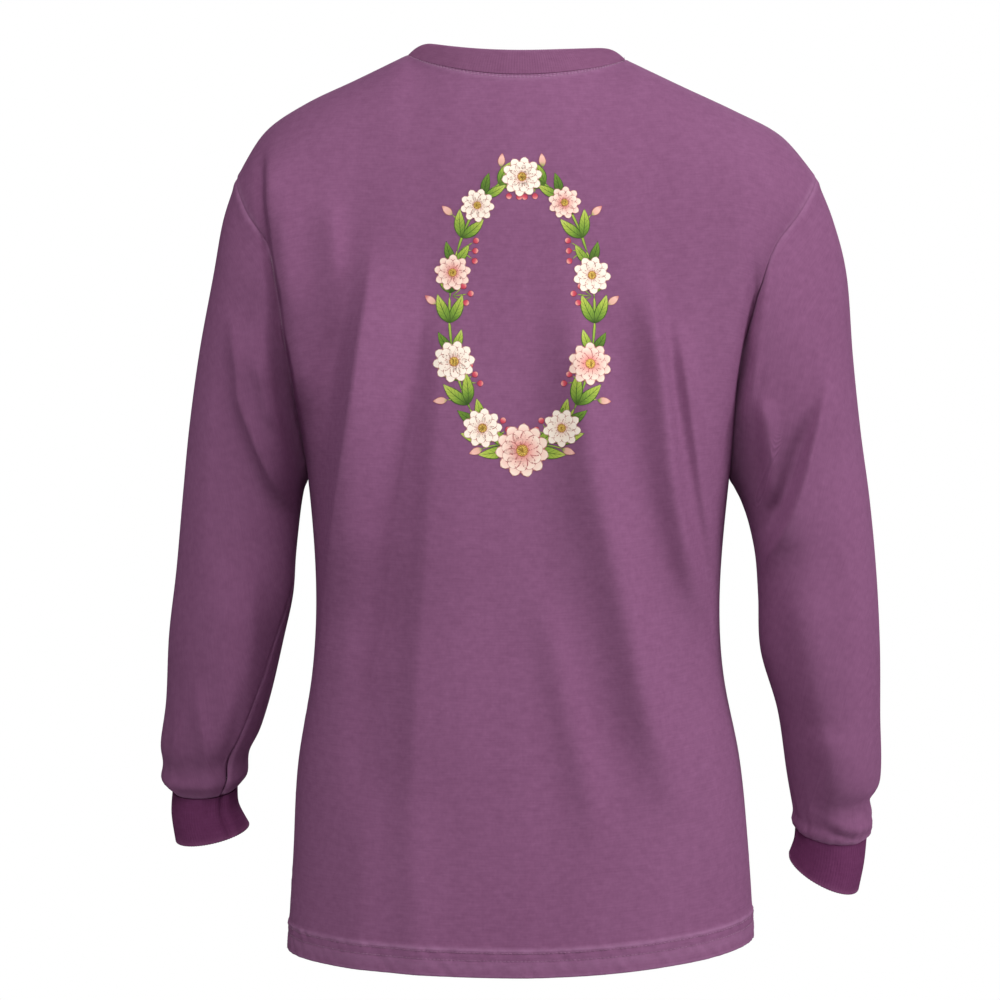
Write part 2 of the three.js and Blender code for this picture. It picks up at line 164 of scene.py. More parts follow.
@dataclass(frozen=True)
class BodyShape:
    """The body of the shirt, without its folds.

    A place on a panel is s, from the wearer's left side (-1) to the right (1), and t, from the hem
    (0) to the underarm (1) and the shoulders and neck (2).
    """

    hem: float = -722
    underarm: float = -335
    half: dict = field(default_factory=lambda: {
        Side.LEFT: (185, 181, 177, 165, 162, 169),
        Side.RIGHT: (186, 182, 175, 161, 159, 167),
    })
    depth: dict = field(default_factory=lambda: {
        Face.BACK: (124, 121, 116, 113, 115, 118),
        Face.FRONT: (119, 116, 114, 114, 117, 120),
    })
    hem_rise: dict = field(default_factory=lambda: {Side.LEFT: 11, Side.RIGHT: 21})
    squareness: float = 2.5
    neck: dict = field(default_factory=lambda: {Face.BACK: (-66, -21.5), Face.FRONT: (66, -92)})
    neck_dip: dict = field(default_factory=lambda: {Face.BACK: 1.6, Face.FRONT: 1.25})
    neck_share: float = 0.4
    neck_lean: float = 0.86
    shoulder: dict = field(default_factory=lambda: {
        Side.LEFT: ((90, 131, 171, 204, 226), (0, -20, -39, -62, -98)),
        Side.RIGHT: ((85, 129, 172, 209, 236), (-4, -25, -45, -65, -97)),
    })
    roll: dict = field(default_factory=lambda: {
        Face.BACK: (2.6, 2.6, 2.6),
        Face.FRONT: (2.0, 1.4, 1.9),
    })
    armhole_sweep: dict = field(default_factory=lambda: {
        Side.LEFT: (0, 0.08, 0.16, 0.23, 0.30, 0.385, 0.49, 0.82, 1),
        Side.RIGHT: (0, 0.01, 0.03, 0.08, 0.19, 0.31, 0.47, 0.79, 1),
    })
    armhole_depth: tuple[float, float] = (44, 78)
    armhole_reach: float = 0.35

    def by_side(self, s: Points, read: Callable[[Side], Points]) -> Points:
        """The left or right side's values, by the sign of s."""
        return np.where(s < 0, read(Side.LEFT), read(Side.RIGHT))

    def lower(self, face: Face, s: Points, t: Points) -> Points:
        """Places on a panel below the underarm.

        Args:
            face: The back or the front.
            s: Places across, from -1 at the wearer's left side to 1 at the right.
            t: Places up, from 0 at the hem to 1 at the underarm.

        Returns:
            The places, in mm.
        """
        angle = s * math.pi / 2
        across, out = np.sin(angle), np.cos(angle)
        power = self.squareness
        reach = (np.abs(across) ** power + np.abs(out) ** power) ** (-1 / power)
        rise = self.by_side(s, lambda side: self.hem_rise[side]) * (1 - t) ** 2 * across**2
        half = self.by_side(s, lambda side: along(self.half[side], t))
        return np.stack([
            half * reach * across,
            face.value * along(self.depth[face], t) * reach * out,
            mix(self.hem, self.underarm, t) + rise,
        ], axis=-1)

    def upper_edge(self, face: Face, s: Points) -> Points:
        """The neck seam in the middle of a panel's upper edge, and the shoulder seams beside it.

        Args:
            face: The back or the front.
            s: Places across, from -1 at the wearer's left side to 1 at the right.

        Returns:
            The places, in mm.
        """
        away = np.abs(s)
        t = (away - self.neck_share) / (1 - self.neck_share)
        over = self.by_side(s, lambda side: along(self.shoulder[side][0], t))
        up = self.by_side(s, lambda side: along(self.shoulder[side][1], t))
        angle = np.clip(s / self.neck_share, -1, 1) * math.pi / 2
        half = self.by_side(s, lambda side: self.shoulder[side][0][0])
        top = self.by_side(s, lambda side: self.shoulder[side][1][0])
        y, z = self.neck[face]
        cosine = np.maximum(np.cos(angle), 0)
        at_neck = away <= self.neck_share
        return np.stack([
            np.where(at_neck, half * np.sin(angle), np.sign(s) * over),
            np.where(at_neck, y * cosine, 0),
            np.where(at_neck, mix(top, z, cosine ** self.neck_dip[face]), up),
        ], axis=-1)

    def armhole(self, f: Points) -> Points:
        """How far the armhole stands from the middle plane at a share of its height."""
        return mix(*self.armhole_depth, f) * 2 * np.sqrt(np.maximum(f * (1 - f), 0))

    def upper(self, face: Face, s: Points, t: Points) -> Points:
        """Places on a panel above the underarm, for t from 0 to 1.

        Args:
            face: The back or the front.
            s: Places across, from -1 at the wearer's left side to 1 at the right.
            t: Places up, from 0 at the underarm to 1 at the seams.

        Returns:
            The places, in mm.
        """
        away = np.abs(s)
        low = self.lower(face, s, np.ones_like(s))
        high = self.upper_edge(face, s)
        f = (1 - np.cos(math.pi * t)) / 2
        middle, beside, arm = self.roll[face]
        past_neck = ease((away - self.neck_share) / (1 - self.neck_share))
        power = mix(mix(middle, beside, ease(away / self.neck_share)), arm, past_neck)
        lean = mix(self.neck_lean, 1, ease(away / self.neck_share))
        rest = np.maximum(1 - lean**power, 0) ** (1 / power)
        out = (np.maximum(1 - (f * lean) ** power, 0) ** (1 / power) - rest) / (1 - rest)
        swept = self.by_side(s, lambda side: along(self.armhole_sweep[side], f))
        sweep = mix(f**1.5, swept, away**4)
        edge = ease((away - self.armhole_reach) / (1 - self.armhole_reach))
        return np.stack([
            mix(low[..., 0], high[..., 0], sweep),
            mix(high[..., 1], low[..., 1], out) + face.value * self.armhole(f) * edge,
            mix(low[..., 2], high[..., 2], f),
        ], axis=-1)

    def panel(self, face: Face, s: Points, t: Points) -> Points:
        """Places on a whole panel, for t from 0 at the hem to 2 at the upper edge.

        Args:
            face: The back or the front.
            s: Places across, from -1 at the wearer's left side to 1 at the right.
            t: Places up, with 1 at the underarm.

        Returns:
            The places, in mm.
        """
        below = self.lower(face, s, np.clip(t, 0, 1))
        above = self.upper(face, s, np.clip(t - 1, 0, 1))
        return np.where((t <= 1)[..., None], below, above)


@dataclass(frozen=True)
class ArmLine:
    """The rings of a sleeve or cuff: their outer and inner points, half-depth and middle y.

    The back of a ring hangs lower than its middle by its dip, as the forearm leans forwards.
    """

    outer: tuple[tuple[float, ...], tuple[float, ...]]
    inner: tuple[tuple[float, ...], tuple[float, ...]]
    depth: tuple[float, ...]
    middle: tuple[float, ...]
    dip: tuple[float, ...]

    def ring(self, side: Side, turn: Points, t: Points) -> Points:
        """Places round the rings; turn runs once round, from the underarm by the back.

        Args:
            side: The side of the wearer.
            turn: Places round, from 0 to 1.
            t: Places down the arm, from 0 to 1.

        Returns:
            The places, in mm.
        """
        share, behind = (1 - np.cos(TAU * turn)) / 2, np.sin(TAU * turn)
        x, z = (mix(along(self.inner[k], t), along(self.outer[k], t), share) for k in (0, 1))
        y = along(self.middle, t) - behind * along(self.depth, t)
        return np.stack([side.value * x, y, z - behind * along(self.dip, t)], axis=-1)


SLEEVES = {
    Side.LEFT: ArmLine(
        outer=((226, 237, 245, 256, 264, 269, 274, 280, 283, 289, 279),
               (-98, -131, -175, -235, -295, -350, -410, -462, -515, -562, -588)),
        inner=((169, 171, 173, 175, 177, 179, 181, 188, 200, 214, 227),
               (-335, -341, -348, -360, -378, -400, -430, -463, -513, -555, -585)),
        depth=(62, 62, 63, 62, 59, 56, 53, 49, 45, 39, 28),
        middle=(0, 1, 1, 0, -2, -5, -8, -7, 0, 9, 14),
        dip=(0, 0, 0, 0, 0, 0, 0, 1, 2, 4, 7),
    ),
    Side.RIGHT: ArmLine(
        outer=((236, 250, 261, 266, 272, 279, 284, 287, 288, 289, 279),
               (-97, -131, -175, -240, -300, -355, -412, -470, -525, -578, -624)),
        inner=((167, 169, 172, 177, 183, 188, 190, 192, 206, 214, 222),
               (-335, -340, -346, -356, -374, -400, -432, -475, -523, -573, -618)),
        depth=(62, 62, 63, 63, 60, 57, 53, 49, 46, 41, 30),
        middle=(0, 1, 1, 0, -2, -5, -8, -7, 0, 10, 18),
        dip=(0, 0, 0, 0, 0, 0, 0, 1, 3, 6, 9),
    ),
}
CUFFS = {
    Side.LEFT: ArmLine(
        outer=((279, 280, 277), (-588, -606, -628)),
        inner=((227, 226, 218), (-585, -600, -616)),
        depth=(28, 28, 29),
        middle=(14, 16, 19),
        dip=(7, 7, 7),
    ),
    Side.RIGHT: ArmLine(
        outer=((279, 277, 273), (-624, -645, -666)),
        inner=((222, 221, 217), (-618, -630, -642)),
        depth=(30, 29, 30),
        middle=(18, 20, 23),
        dip=(9, 10, 11),
    ),
}
# Turns by which a sleeve has turned where it meets the cuff, and the share of it where that starts.
TWIST = {Side.LEFT: 0.15, Side.RIGHT: 0.0}
TWIST_START = 0.4
# Share of a sleeve over which the armhole's shape fades out.
SLEEVE_BLEND = 0.35


# ---- Folds ----------------------------------------------------------------------------------


@dataclass(frozen=True)
class Fold:
    """A fold that runs down the cloth.

    Attributes:
        path: Points (x, z) from its top to its bottom, in mm.
        height: How far it stands out of the cloth, in mm; a valley has a negative height.
        left: How wide it is towards the wearer's left, in mm.
        right: How wide it is towards the wearer's right, in mm.
        fade: Share of its length over which it fades at each end.
        roundness: 2 for a round crest, less for a sharp one.
    """

    path: tuple[tuple[float, float], ...]
    height: float
    left: float
    right: float
    fade: float = 0.3
    roundness: float = 2.0

    def lift(self, x: Points, z: Points) -> Points:
        """How far the fold lifts the cloth at places (x, z).

        Args:
            x: Places across, in mm.
            z: Places up, in mm.

        Returns:
            The lift at each place, in mm.
        """
        xs, zs = (np.array(values, float) for values in zip(*self.path))
        stations = np.linspace(0, 1, len(zs))
        t = np.interp(-z, -zs, stations)
        line = along(xs, t)
        slope = (xs[-1] - xs[0]) / (zs[-1] - zs[0])
        away = (x - line) / math.hypot(1, slope)
        width = np.where(away < 0, self.left, self.right)
        length = zs[0] - zs[-1]
        down = (zs[0] - z) / length
        strength = ease(down / self.fade) * ease((1 - down) / self.fade)
        return self.height * np.exp(-(np.abs(away / width) ** self.roundness)) * strength


@dataclass(frozen=True)
class Drape:
    """The folds on the back or front, which every piece of cloth there shares."""

    folds: tuple[Fold, ...]
    ripple: float
    seed: int
    start: float = 4
    full: float = 46

    def push(self, face: Face, points: Points) -> Points:
        """Moves places on the cloth along y by the folds, less towards the middle plane.

        Args:
            face: The back or the front.
            points: The places, in mm.

        Returns:
            The moved places.
        """
        x, y, z = (points[..., k] for k in range(3))
        lift = sum(fold.lift(x, z) for fold in self.folds)
        lift = lift + self.ripple * ripples(x, z, (150, 420), self.seed)
        weight = ease((face.value * y - self.start) / (self.full - self.start))
        moved = points.copy()
        moved[..., 1] += face.value * lift * weight
        return moved


# The top of the steep fold down the left side.
SIDE_LINE = ((-116, -150), (-120, -200), (-126, -239), (-131, -278), (-137, -316), (-143, -355),
             (-149, -394))

BACK_FOLDS = (
    # Where the back laps over the left sleeve.
    Fold(((-203, -70), (-202, -121), (-199, -144), (-196, -168), (-190, -199), (-188, -222),
          (-183, -246), (-178, -277), (-172, -308), (-167, -350)), -8, 5, 2.2, 0.15),
    Fold(((-198, -70), (-198, -121), (-195, -144), (-192, -168), (-186, -199), (-184, -222),
          (-179, -246), (-174, -277), (-170, -298)), 13, 2.4, 17, 0.18, 1.3),
    # The fold down the left side, which falls steeply on its outer side, and the hollow beside it.
    Fold(((-149, -105), (-146, -150), (-143, -200), (-148, -250)), 5, 13, 9, 0.3),
    Fold(((-108, -70), (-110, -120), (-113, -170), (-116, -224), (-124, -278), (-133, -332),
          (-139, -386), (-146, -440), (-154, -500), (-168, -640)), 9, 20, 42, 0.34),
    Fold((*SIDE_LINE, (-154, -430), (-158, -460)), 18, 9, 60, 0.26, 1.1),
    Fold((*SIDE_LINE, (-155, -440), (-162, -500), (-169, -560), (-176, -620)),
         17, 9, 60, 0.3, 1.1),
    Fold(((-132, -165), (-137, -200), (-143, -239), (-148, -278), (-154, -316), (-160, -355),
          (-165, -394), (-170, -440)), -7, 14, 8, 0.28),
    Fold(((-140, -400), (-148, -460), (-156, -520), (-166, -600), (-174, -680)), 6, 14, 46, 0.3),
    Fold(((-70, -150), (-76, -223), (-80, -278), (-90, -332), (-98, -386), (-104, -448),
          (-115, -494), (-123, -550), (-130, -620)), -11, 30, 18, 0.26, 1.1),
    Fold(((-60, -190), (-63, -278), (-67, -332), (-71, -386), (-76, -448), (-80, -520),
          (-84, -640)), 10, 13, 56, 0.3),
    # The long folds that run from the right blade down to the waist.
    Fold(((36, -170), (43, -224), (50, -278), (57, -332), (69, -386), (84, -448), (98, -510),
          (112, -566), (124, -620)), 17, 20, 16, 0.25),
    Fold(((95, -165), (103, -212), (109, -256), (114, -298), (119, -338), (129, -386), (140, -430),
          (148, -475)), 16, 14, 6, 0.25),
    Fold(((119, -205), (126, -245), (131, -277), (137, -316), (143, -355), (150, -394),
          (156, -432)), 7, 5, 9, 0.25),
    # Broad soft swells above the hem.
    Fold(((10, -400), (21, -448), (34, -510), (50, -570), (62, -640)), 4.5, 14, 13, 0.3),
    Fold(((-120, -560), (-122, -620), (-126, -680), (-130, -760)), 3, 14, 20, 0.3),
    Fold(((-86, -560), (-84, -620), (-80, -680), (-82, -760)), 2.2, 14, 20, 0.3),
    Fold(((140, -500), (146, -560), (150, -620), (150, -690)), 3.5, 9, 12, 0.3),
    # The left sleeve, full towards the back and drawn in towards the underarm.
    Fold(((-207, -150), (-203, -190), (-199, -235), (-193, -280), (-188, -330)), 5, 14, 9, 0.3),
    Fold(((-228, -200), (-225, -233), (-222, -255), (-220, -277), (-213, -297), (-206, -315),
          (-199, -331), (-192, -344), (-181, -362), (-171, -376)), 13, 5, 16, 0.25, 1.4),
    Fold(((-206, -240), (-200, -272), (-193, -305)), 4, 5, 6, 0.3),
    Fold(((-204, -200), (-199, -240), (-193, -280), (-187, -320), (-180, -365)), 14, 22, 6, 0.35),
    Fold(((-246, -250), (-245, -300), (-247, -350), (-252, -420)), 3.5, 14, 7, 0.3),
    Fold(((-244, -360), (-250, -420), (-260, -480), (-268, -530)), 3, 12, 18, 0.3),
    Fold(((-212, -390), (-212, -450), (-215, -500), (-221, -550), (-228, -610)), 10, 34, 12, 0.28),
    Fold(((-255, -490), (-252, -530), (-247, -555), (-243, -590)), 3, 6, 7, 0.3, 1.4),
    Fold(((-276, -490), (-275, -535), (-272, -560), (-268, -590)), 3, 6, 7, 0.3, 1.4),
    # The right sleeve, the same.
    Fold(((181, -160), (183, -180), (182, -199), (177, -222), (175, -246), (168, -277), (163, -308),
          (160, -345)), -6, 5, 3, 0.2),
    Fold(((196, -130), (194, -190), (190, -227), (185, -260), (181, -300), (184, -345)),
         8, 7, 24, 0.3),
    Fold(((189, -180), (188, -199), (184, -222), (182, -246), (177, -277), (174, -308)),
         4, 3, 5, 0.25),
    Fold(((188, -268), (192, -300), (197, -335), (197, -366)), 8, 6, 9, 0.25),
    Fold(((242, -240), (238, -274), (229, -308), (221, -339), (210, -371), (196, -396),
          (166, -440)), 15, 6, 14, 0.33, 1.4),
    Fold(((232, -280), (221, -312), (212, -341), (201, -368), (186, -392)), -6, 7, 5, 0.3),
    Fold(((262, -330), (264, -400), (262, -480), (258, -560)), 2, 14, 14, 0.35),
    Fold(((214, -400), (217, -433), (224, -470), (233, -512), (243, -551), (250, -590),
          (256, -625)), 8, 13, 32, 0.25),
    Fold(((232, -530), (239, -565), (246, -600), (252, -630)), 6, 14, 26, 0.25),
)

FRONT_FOLDS = (
    Fold(((-150, -150), (-140, -220), (-128, -290), (-120, -360)), -11, 12, 14, 0.3),
    Fold(((-128, -150), (-116, -220), (-102, -290), (-94, -370)), 8.8, 12, 16, 0.3),
    Fold(((150, -150), (140, -220), (130, -300), (124, -370)), -11, 14, 12, 0.3),
    Fold(((128, -150), (116, -220), (104, -290), (98, -380)), 8.8, 16, 12, 0.3),
    Fold(((-70, -330), (-76, -430), (-90, -520), (-96, -620)), 7.5, 16, 20, 0.3),
    Fold(((-30, -360), (-34, -460), (-44, -560), (-46, -680)), -6.6, 16, 16, 0.3),
    Fold(((60, -330), (68, -430), (80, -520), (90, -640)), 7.5, 20, 16, 0.3),
    Fold(((22, -380), (30, -480), (36, -580), (40, -700)), -6.6, 16, 16, 0.3),
    Fold(((-236, -300), (-226, -340), (-212, -372), (-196, -398)), -9.9, 8, 10, 0.3),
    Fold(((-252, -310), (-244, -350), (-232, -385), (-214, -415)), 8.8, 9, 8, 0.3),
    Fold(((244, -300), (236, -345), (222, -385), (206, -410)), -9.9, 10, 8, 0.3),
    Fold(((258, -320), (252, -365), (240, -402), (222, -430)), 8.8, 8, 9, 0.3),
)

DRAPES = {
    Face.BACK: Drape(BACK_FOLDS, ripple=1.0, seed=3),
    Face.FRONT: Drape(FRONT_FOLDS, ripple=1.4, seed=8),
}


def drape(points: Points) -> Points:
    """Places on the cloth, moved by the folds of the back and of the front.

    Args:
        points: The places, in mm.

    Returns:
        The moved places.
    """
    for face, folds in DRAPES.items():
        points = folds.push(face, points)
    return points


# ---- Sheets of cloth ------------------------------------------------------------------------


class Cloth:
    """A grid of points on a piece of cloth, in millimetres, and what lies at each of them.

    Rows run along the cloth and columns across it, and a closed cloth's last column is its first.
    """

    def __init__(self, points: Points, closed: bool) -> None:
        """Lays the cloth out flat, so that patterns and stitches know their size on it.

        Args:
            points: The grid, as rows x columns x 3.
            closed: Whether the columns go all the way round.
        """
        self.points = points
        self.closed = closed
        self.sign = 1.0
        steps = np.linalg.norm(np.diff(points, axis=1), axis=2)
        self.across = np.concatenate([np.zeros((len(points), 1)), np.cumsum(steps, axis=1)], axis=1)
        steps = np.linalg.norm(np.diff(points, axis=0), axis=2)
        self.down = np.concatenate([np.zeros((1, points.shape[1])), np.cumsum(steps, axis=0)])
        self.uv = np.stack([self.across - self.across[:, -1:] / 2, self.down], axis=-1)

    def normals(self) -> Points:
        """The outward normal at each point.

        Returns:
            The normals, as a grid like the points.
        """
        grid = self.points
        if self.closed:
            grid = np.concatenate([grid[:, -2:-1], grid, grid[:, 1:2]], axis=1)
        over = np.gradient(grid, axis=1)
        down = np.gradient(grid, axis=0)
        if self.closed:
            over, down = over[:, 1:-1], down[:, 1:-1]
        normal = np.cross(over, down) * self.sign
        return normal / np.maximum(np.linalg.norm(normal, axis=2, keepdims=True), 1e-9)

    def face_away_from(self, inside: Points) -> None:
        """Turns the normals so that they point away from places inside the cloth."""
        apart = ((self.points - inside) * self.normals()).sum()
        self.sign = 1.0 if apart > 0 else -1.0

    def push(self, amount: Points) -> None:
        """Moves each point along its normal."""
        self.points = self.points + self.normals() * amount[..., None]

    def sink(self, amount: Points) -> None:
        """Moves each point along y towards the middle plane."""
        y = self.points[..., 1]
        self.points[..., 1] = y - amount * y / (np.abs(y) + 6)

    def from_end(self) -> Points:
        """How far each point is from the last row, in mm."""
        return self.down[-1:] - self.down

    def from_side(self) -> Points:
        """How far each point is from the nearer of the first and last columns, in mm."""
        return np.minimum(self.across, self.across[:, -1:] - self.across)

    def build(self, name: str, marks: dict[str, Points]) -> bpy.types.Object:
        """Makes the cloth an object.

        Args:
            name: The object's name.
            marks: Values at each point by attribute name, such as how worn the cloth is there.

        Returns:
            The object, its faces outward, with its laid-out places in metres as its UV map.
        """
        rows, columns = self.points.shape[:2]
        bm = bmesh.new()
        bmesh.ops.create_grid(bm, x_segments=columns - 1, y_segments=rows - 1, size=0.5)
        mesh = bpy.data.meshes.new(name)
        bm.to_mesh(mesh)
        bm.free()
        flat = np.empty(len(mesh.vertices) * 3)
        mesh.vertices.foreach_get("co", flat)
        flat = flat.reshape(-1, 3) + 0.5
        column = np.rint(flat[:, 0] * (columns - 1)).astype(int)
        row = np.rint(flat[:, 1] * (rows - 1)).astype(int)
        mesh.vertices.foreach_set("co", (self.points[row, column] * MM).ravel())
        corners = np.empty(len(mesh.loops), int)
        mesh.loops.foreach_get("vertex_index", corners)
        layer = mesh.uv_layers.new(name="laid_out")
        laid = (self.uv * MM)[row[corners], column[corners]]
        layer.data.foreach_set("uv", laid.astype(np.float32).ravel())
        for mark, values in marks.items():
            made = mesh.attributes.new(mark, "FLOAT", "POINT")
            made.data.foreach_set("value", values[row, column].astype(np.float32))
        mesh.update()
        outward = self.normals()[row, column]
        first = mesh.polygons[len(mesh.polygons) // 2]
        turned = Vector(outward[first.vertices[0]]).dot(first.normal) < 0
        bm = bmesh.new()
        bm.from_mesh(mesh)
        if turned:
            bmesh.ops.reverse_faces(bm, faces=bm.faces)
        if self.closed:
            bmesh.ops.remove_doubles(bm, verts=bm.verts, dist=1e-6)
        for face in bm.faces:
            face.smooth = True
        bm.to_mesh(mesh)
        bm.free()
        return new_object(name, mesh)


def new_object(name: str, mesh: bpy.types.Mesh) -> bpy.types.Object:
    """An object in the scene that holds a mesh.

    Args:
        name: The object's name.
        mesh: Its mesh.

    Returns:
        The object.
    """
    made = bpy.data.objects.new(name, mesh)
    bpy.context.scene.collection.objects.link(made)
    return made


def finished(name: str, bm: bmesh.types.BMesh) -> bpy.types.Object:
    """Makes a bmesh an object with smooth faces, and frees it.

    Args:
        name: The object's name.
        bm: The bmesh.

    Returns:
        The object.
    """
    for face in bm.faces:
        face.smooth = True
    mesh = bpy.data.meshes.new(name)
    bm.to_mesh(mesh)
    bm.free()
    return new_object(name, mesh)


def thicken(piece: bpy.types.Object, thickness: float, thin_share: float = 1.0) -> None:
    """Gives a sheet its thickness, inwards from its outer side.

    Args:
        piece: The sheet.
        thickness: Thickness in mm where the attribute "doubled" is 1.
        thin_share: Share of that where it is 0.
    """
    wall = piece.modifiers.new("thickness", "SOLIDIFY")
    wall.thickness = thickness * MM
    wall.offset = -1
    wall.use_even_offset = True
    if thin_share < 1:
        group = piece.vertex_groups.new(name="doubled")
        values = piece.data.attributes["doubled"].data
        for vertex, value in enumerate(values):
            if value.value > 0:
                group.add([vertex], value.value, "REPLACE")
        wall.vertex_group = "doubled"
        wall.thickness_vertex_group = thin_share


def groove(away: Points, width: float) -> Points:
    """1 at a seam, falling to 0 over a width in mm."""
    return np.exp(-((away / width) ** 2))


# ---- Finishes -------------------------------------------------------------------------------


class Graph:
    """A material's nodes, made and linked in short calls."""

    def __init__(self, name: str) -> None:
        """Starts a material with one Principled shader."""
        self.material = bpy.data.materials.new(name)
        self.material.use_nodes = True
        self.tree = self.material.node_tree
        self.shader = self.tree.nodes["Principled BSDF"]

    def add(self, kind: str, **settings: object) -> bpy.types.Node:
        """A node of a kind, with its settings; a setting in capitals is an input's value.

        Args:
            kind: The node's type, without "ShaderNode".
            settings: Attributes of the node, and values for inputs as IN_<index>.

        Returns:
            The node.
        """
        node = self.tree.nodes.new("ShaderNode" + kind)
        for key, value in settings.items():
            if key.startswith("IN_"):
                node.inputs[int(key[3:])].default_value = value
            else:
                setattr(node, key, value)
        return node

    def link(self, source: bpy.types.NodeSocket, target: bpy.types.NodeSocket) -> None:
        """Joins an output to an input."""
        self.tree.links.new(source, target)

    def math(self, operation: str, a: object, b: object = 0.0) -> bpy.types.NodeSocket:
        """The result of a sum on two numbers or outputs.

        Args:
            operation: The Math node's operation.
            a: The first number or output.
            b: The second one.

        Returns:
            The result's output.
        """
        node = self.add("Math", operation=operation)
        for socket, value in zip(node.inputs, (a, b)):
            if isinstance(value, bpy.types.NodeSocket):
                self.link(value, socket)
            else:
                socket.default_value = value
        return node.outputs[0]

    def times(self, a: object, b: object) -> bpy.types.NodeSocket:
        """The product of two numbers or outputs."""
        return self.math("MULTIPLY", a, b)

    def plus(self, a: object, b: object) -> bpy.types.NodeSocket:
        """The sum of two numbers or outputs."""
        return self.math("ADD", a, b)

    def settings(self, values: dict[str, object]) -> None:
        """Sets the shader's own sockets, by their names."""
        for name, value in values.items():
            self.shader.inputs[name].default_value = value

    def noise(self, place: bpy.types.NodeSocket, scale: Colour,
              detail: float = 3) -> bpy.types.NodeSocket:
        """Noise from 0 to 1, so many blotches to a metre along each axis.

        Args:
            place: Where each point lies, in metres.
            scale: Blotches to a metre along x, y and z.
            detail: How many finer octaves it has.

        Returns:
            The noise's output.
        """
        mapping = self.add("Mapping", IN_3=scale)
        self.link(place, mapping.inputs[0])
        noise = self.add("TexNoise")
        noise.inputs["Scale"].default_value = 1
        noise.inputs["Detail"].default_value = detail
        self.link(mapping.outputs[0], noise.inputs["Vector"])
        return noise.outputs["Fac"]

    def ramp(self, value: bpy.types.NodeSocket,
             stops: Sequence[tuple[float, Colour]]) -> bpy.types.NodeSocket:
        """Colours by a value from 0 to 1.

        Args:
            value: The output that picks the colour.
            stops: Places and colours, in order.

        Returns:
            The colour's output.
        """
        node = self.add("ValToRGB")
        ramp = node.color_ramp
        ramp.elements[0].position, ramp.elements[0].color = stops[0][0], (*stops[0][1], 1)
        ramp.elements[1].position, ramp.elements[1].color = stops[-1][0], (*stops[-1][1], 1)
        for place, colour in stops[1:-1]:
            ramp.elements.new(place).color = (*colour, 1)
        self.link(value, node.inputs[0])
        return node.outputs[0]

    def blend(self, kind: str, share: object, a: object, b: object) -> bpy.types.NodeSocket:
        """Two colours mixed in a share.

        Args:
            kind: The way they are mixed.
            share: How much of the second, as a number or output.
            a: The first colour or output.
            b: The second one.

        Returns:
            The mixed colour's output.
        """
        node = self.add("MixRGB", blend_type=kind)
        for socket, value in zip(node.inputs, (share, a, b)):
            if isinstance(value, bpy.types.NodeSocket):
                self.link(value, socket)
            else:
                socket.default_value = value if isinstance(value, float) else (*value, 1)
        return node.outputs[0]

    def bump(self, height: bpy.types.NodeSocket, distance: float) -> None:
        """Roughens the surface by a height from 0 to 1, over a distance in mm.

        Args:
            height: The height's output.
            distance: How far a height of 1 stands out, in mm.
        """
        node = self.add("Bump")
        node.inputs["Strength"].default_value = 1
        node.inputs["Distance"].default_value = distance * MM
        self.link(height, node.inputs["Height"])
        self.link(node.outputs[0], self.shader.inputs["Normal"])


@dataclass(frozen=True)
class ClothFinish:
    """Garment-dyed knit cotton: its colours, its stitches and how its worn edges fade.

    Attributes:
        name: The material's name.
        deep: Colour where the dye took most.
        pale: Colour where it took least.
        worn: Colour along edges and seams.
        wale: Width of one column of knit stitches, in mm.
        relief: Height of the knit, in mm.
        sheen: How much the fluff on the cloth lightens its edges.
    """

    name: str
    deep: Colour
    pale: Colour
    worn: Colour
    wale: float = 0.64
    relief: float = 0.1
    sheen: float = 0.12

    def build(self) -> bpy.types.Material:
        """Makes the finish's material.

        Returns:
            The material.
        """
        graph = Graph(self.name)
        coordinates = graph.add("TexCoord")
        place, laid = coordinates.outputs["Object"], coordinates.outputs["UV"]
        cloud = graph.noise(place, (7, 7, 5), 3)
        fleck = graph.noise(place, (150, 150, 190), 3)
        thread = graph.noise(laid, (520, 260, 1), 2)
        cross = graph.noise(laid, (70, 800, 1), 2)
        total = graph.times(cloud, 0.22)
        for part, share in ((fleck, 0.32), (thread, 0.2), (cross, 0.26)):
            total = graph.plus(total, graph.times(part, share))
        colour = graph.ramp(total, ((0.34, self.deep), (0.66, self.pale)))
        wear = graph.add("Attribute", attribute_name="wear").outputs["Fac"]
        patchy = graph.times(wear, graph.plus(fleck, 0.35))
        colour = graph.blend("MIX", patchy, colour, self.worn)
        graph.link(colour, graph.shader.inputs["Base Color"])
        parts = graph.add("SeparateXYZ")
        graph.link(laid, parts.inputs[0])
        turns = TAU / (self.wale * MM)
        wales = graph.math("SINE", graph.times(parts.outputs[0], turns))
        rows = graph.math("SINE", graph.times(parts.outputs[1], turns * 1.25))
        knit = graph.plus(graph.times(wales, 0.5), graph.times(rows, 0.3))
        uneven = graph.times(graph.noise(place, (60, 60, 70), 4), 1.6)
        height = graph.plus(graph.plus(knit, uneven), graph.times(fleck, 1.2))
        graph.bump(height, self.relief)
        red, green, blue = self.worn
        graph.settings({
            "Roughness": 0.95,
            "Specular IOR Level": 0.04,
            "Sheen Weight": self.sheen,
            "Sheen Roughness": 0.5,
            "Sheen Tint": (red, 0.6 * green, blue, 1),
        })
        return graph.material


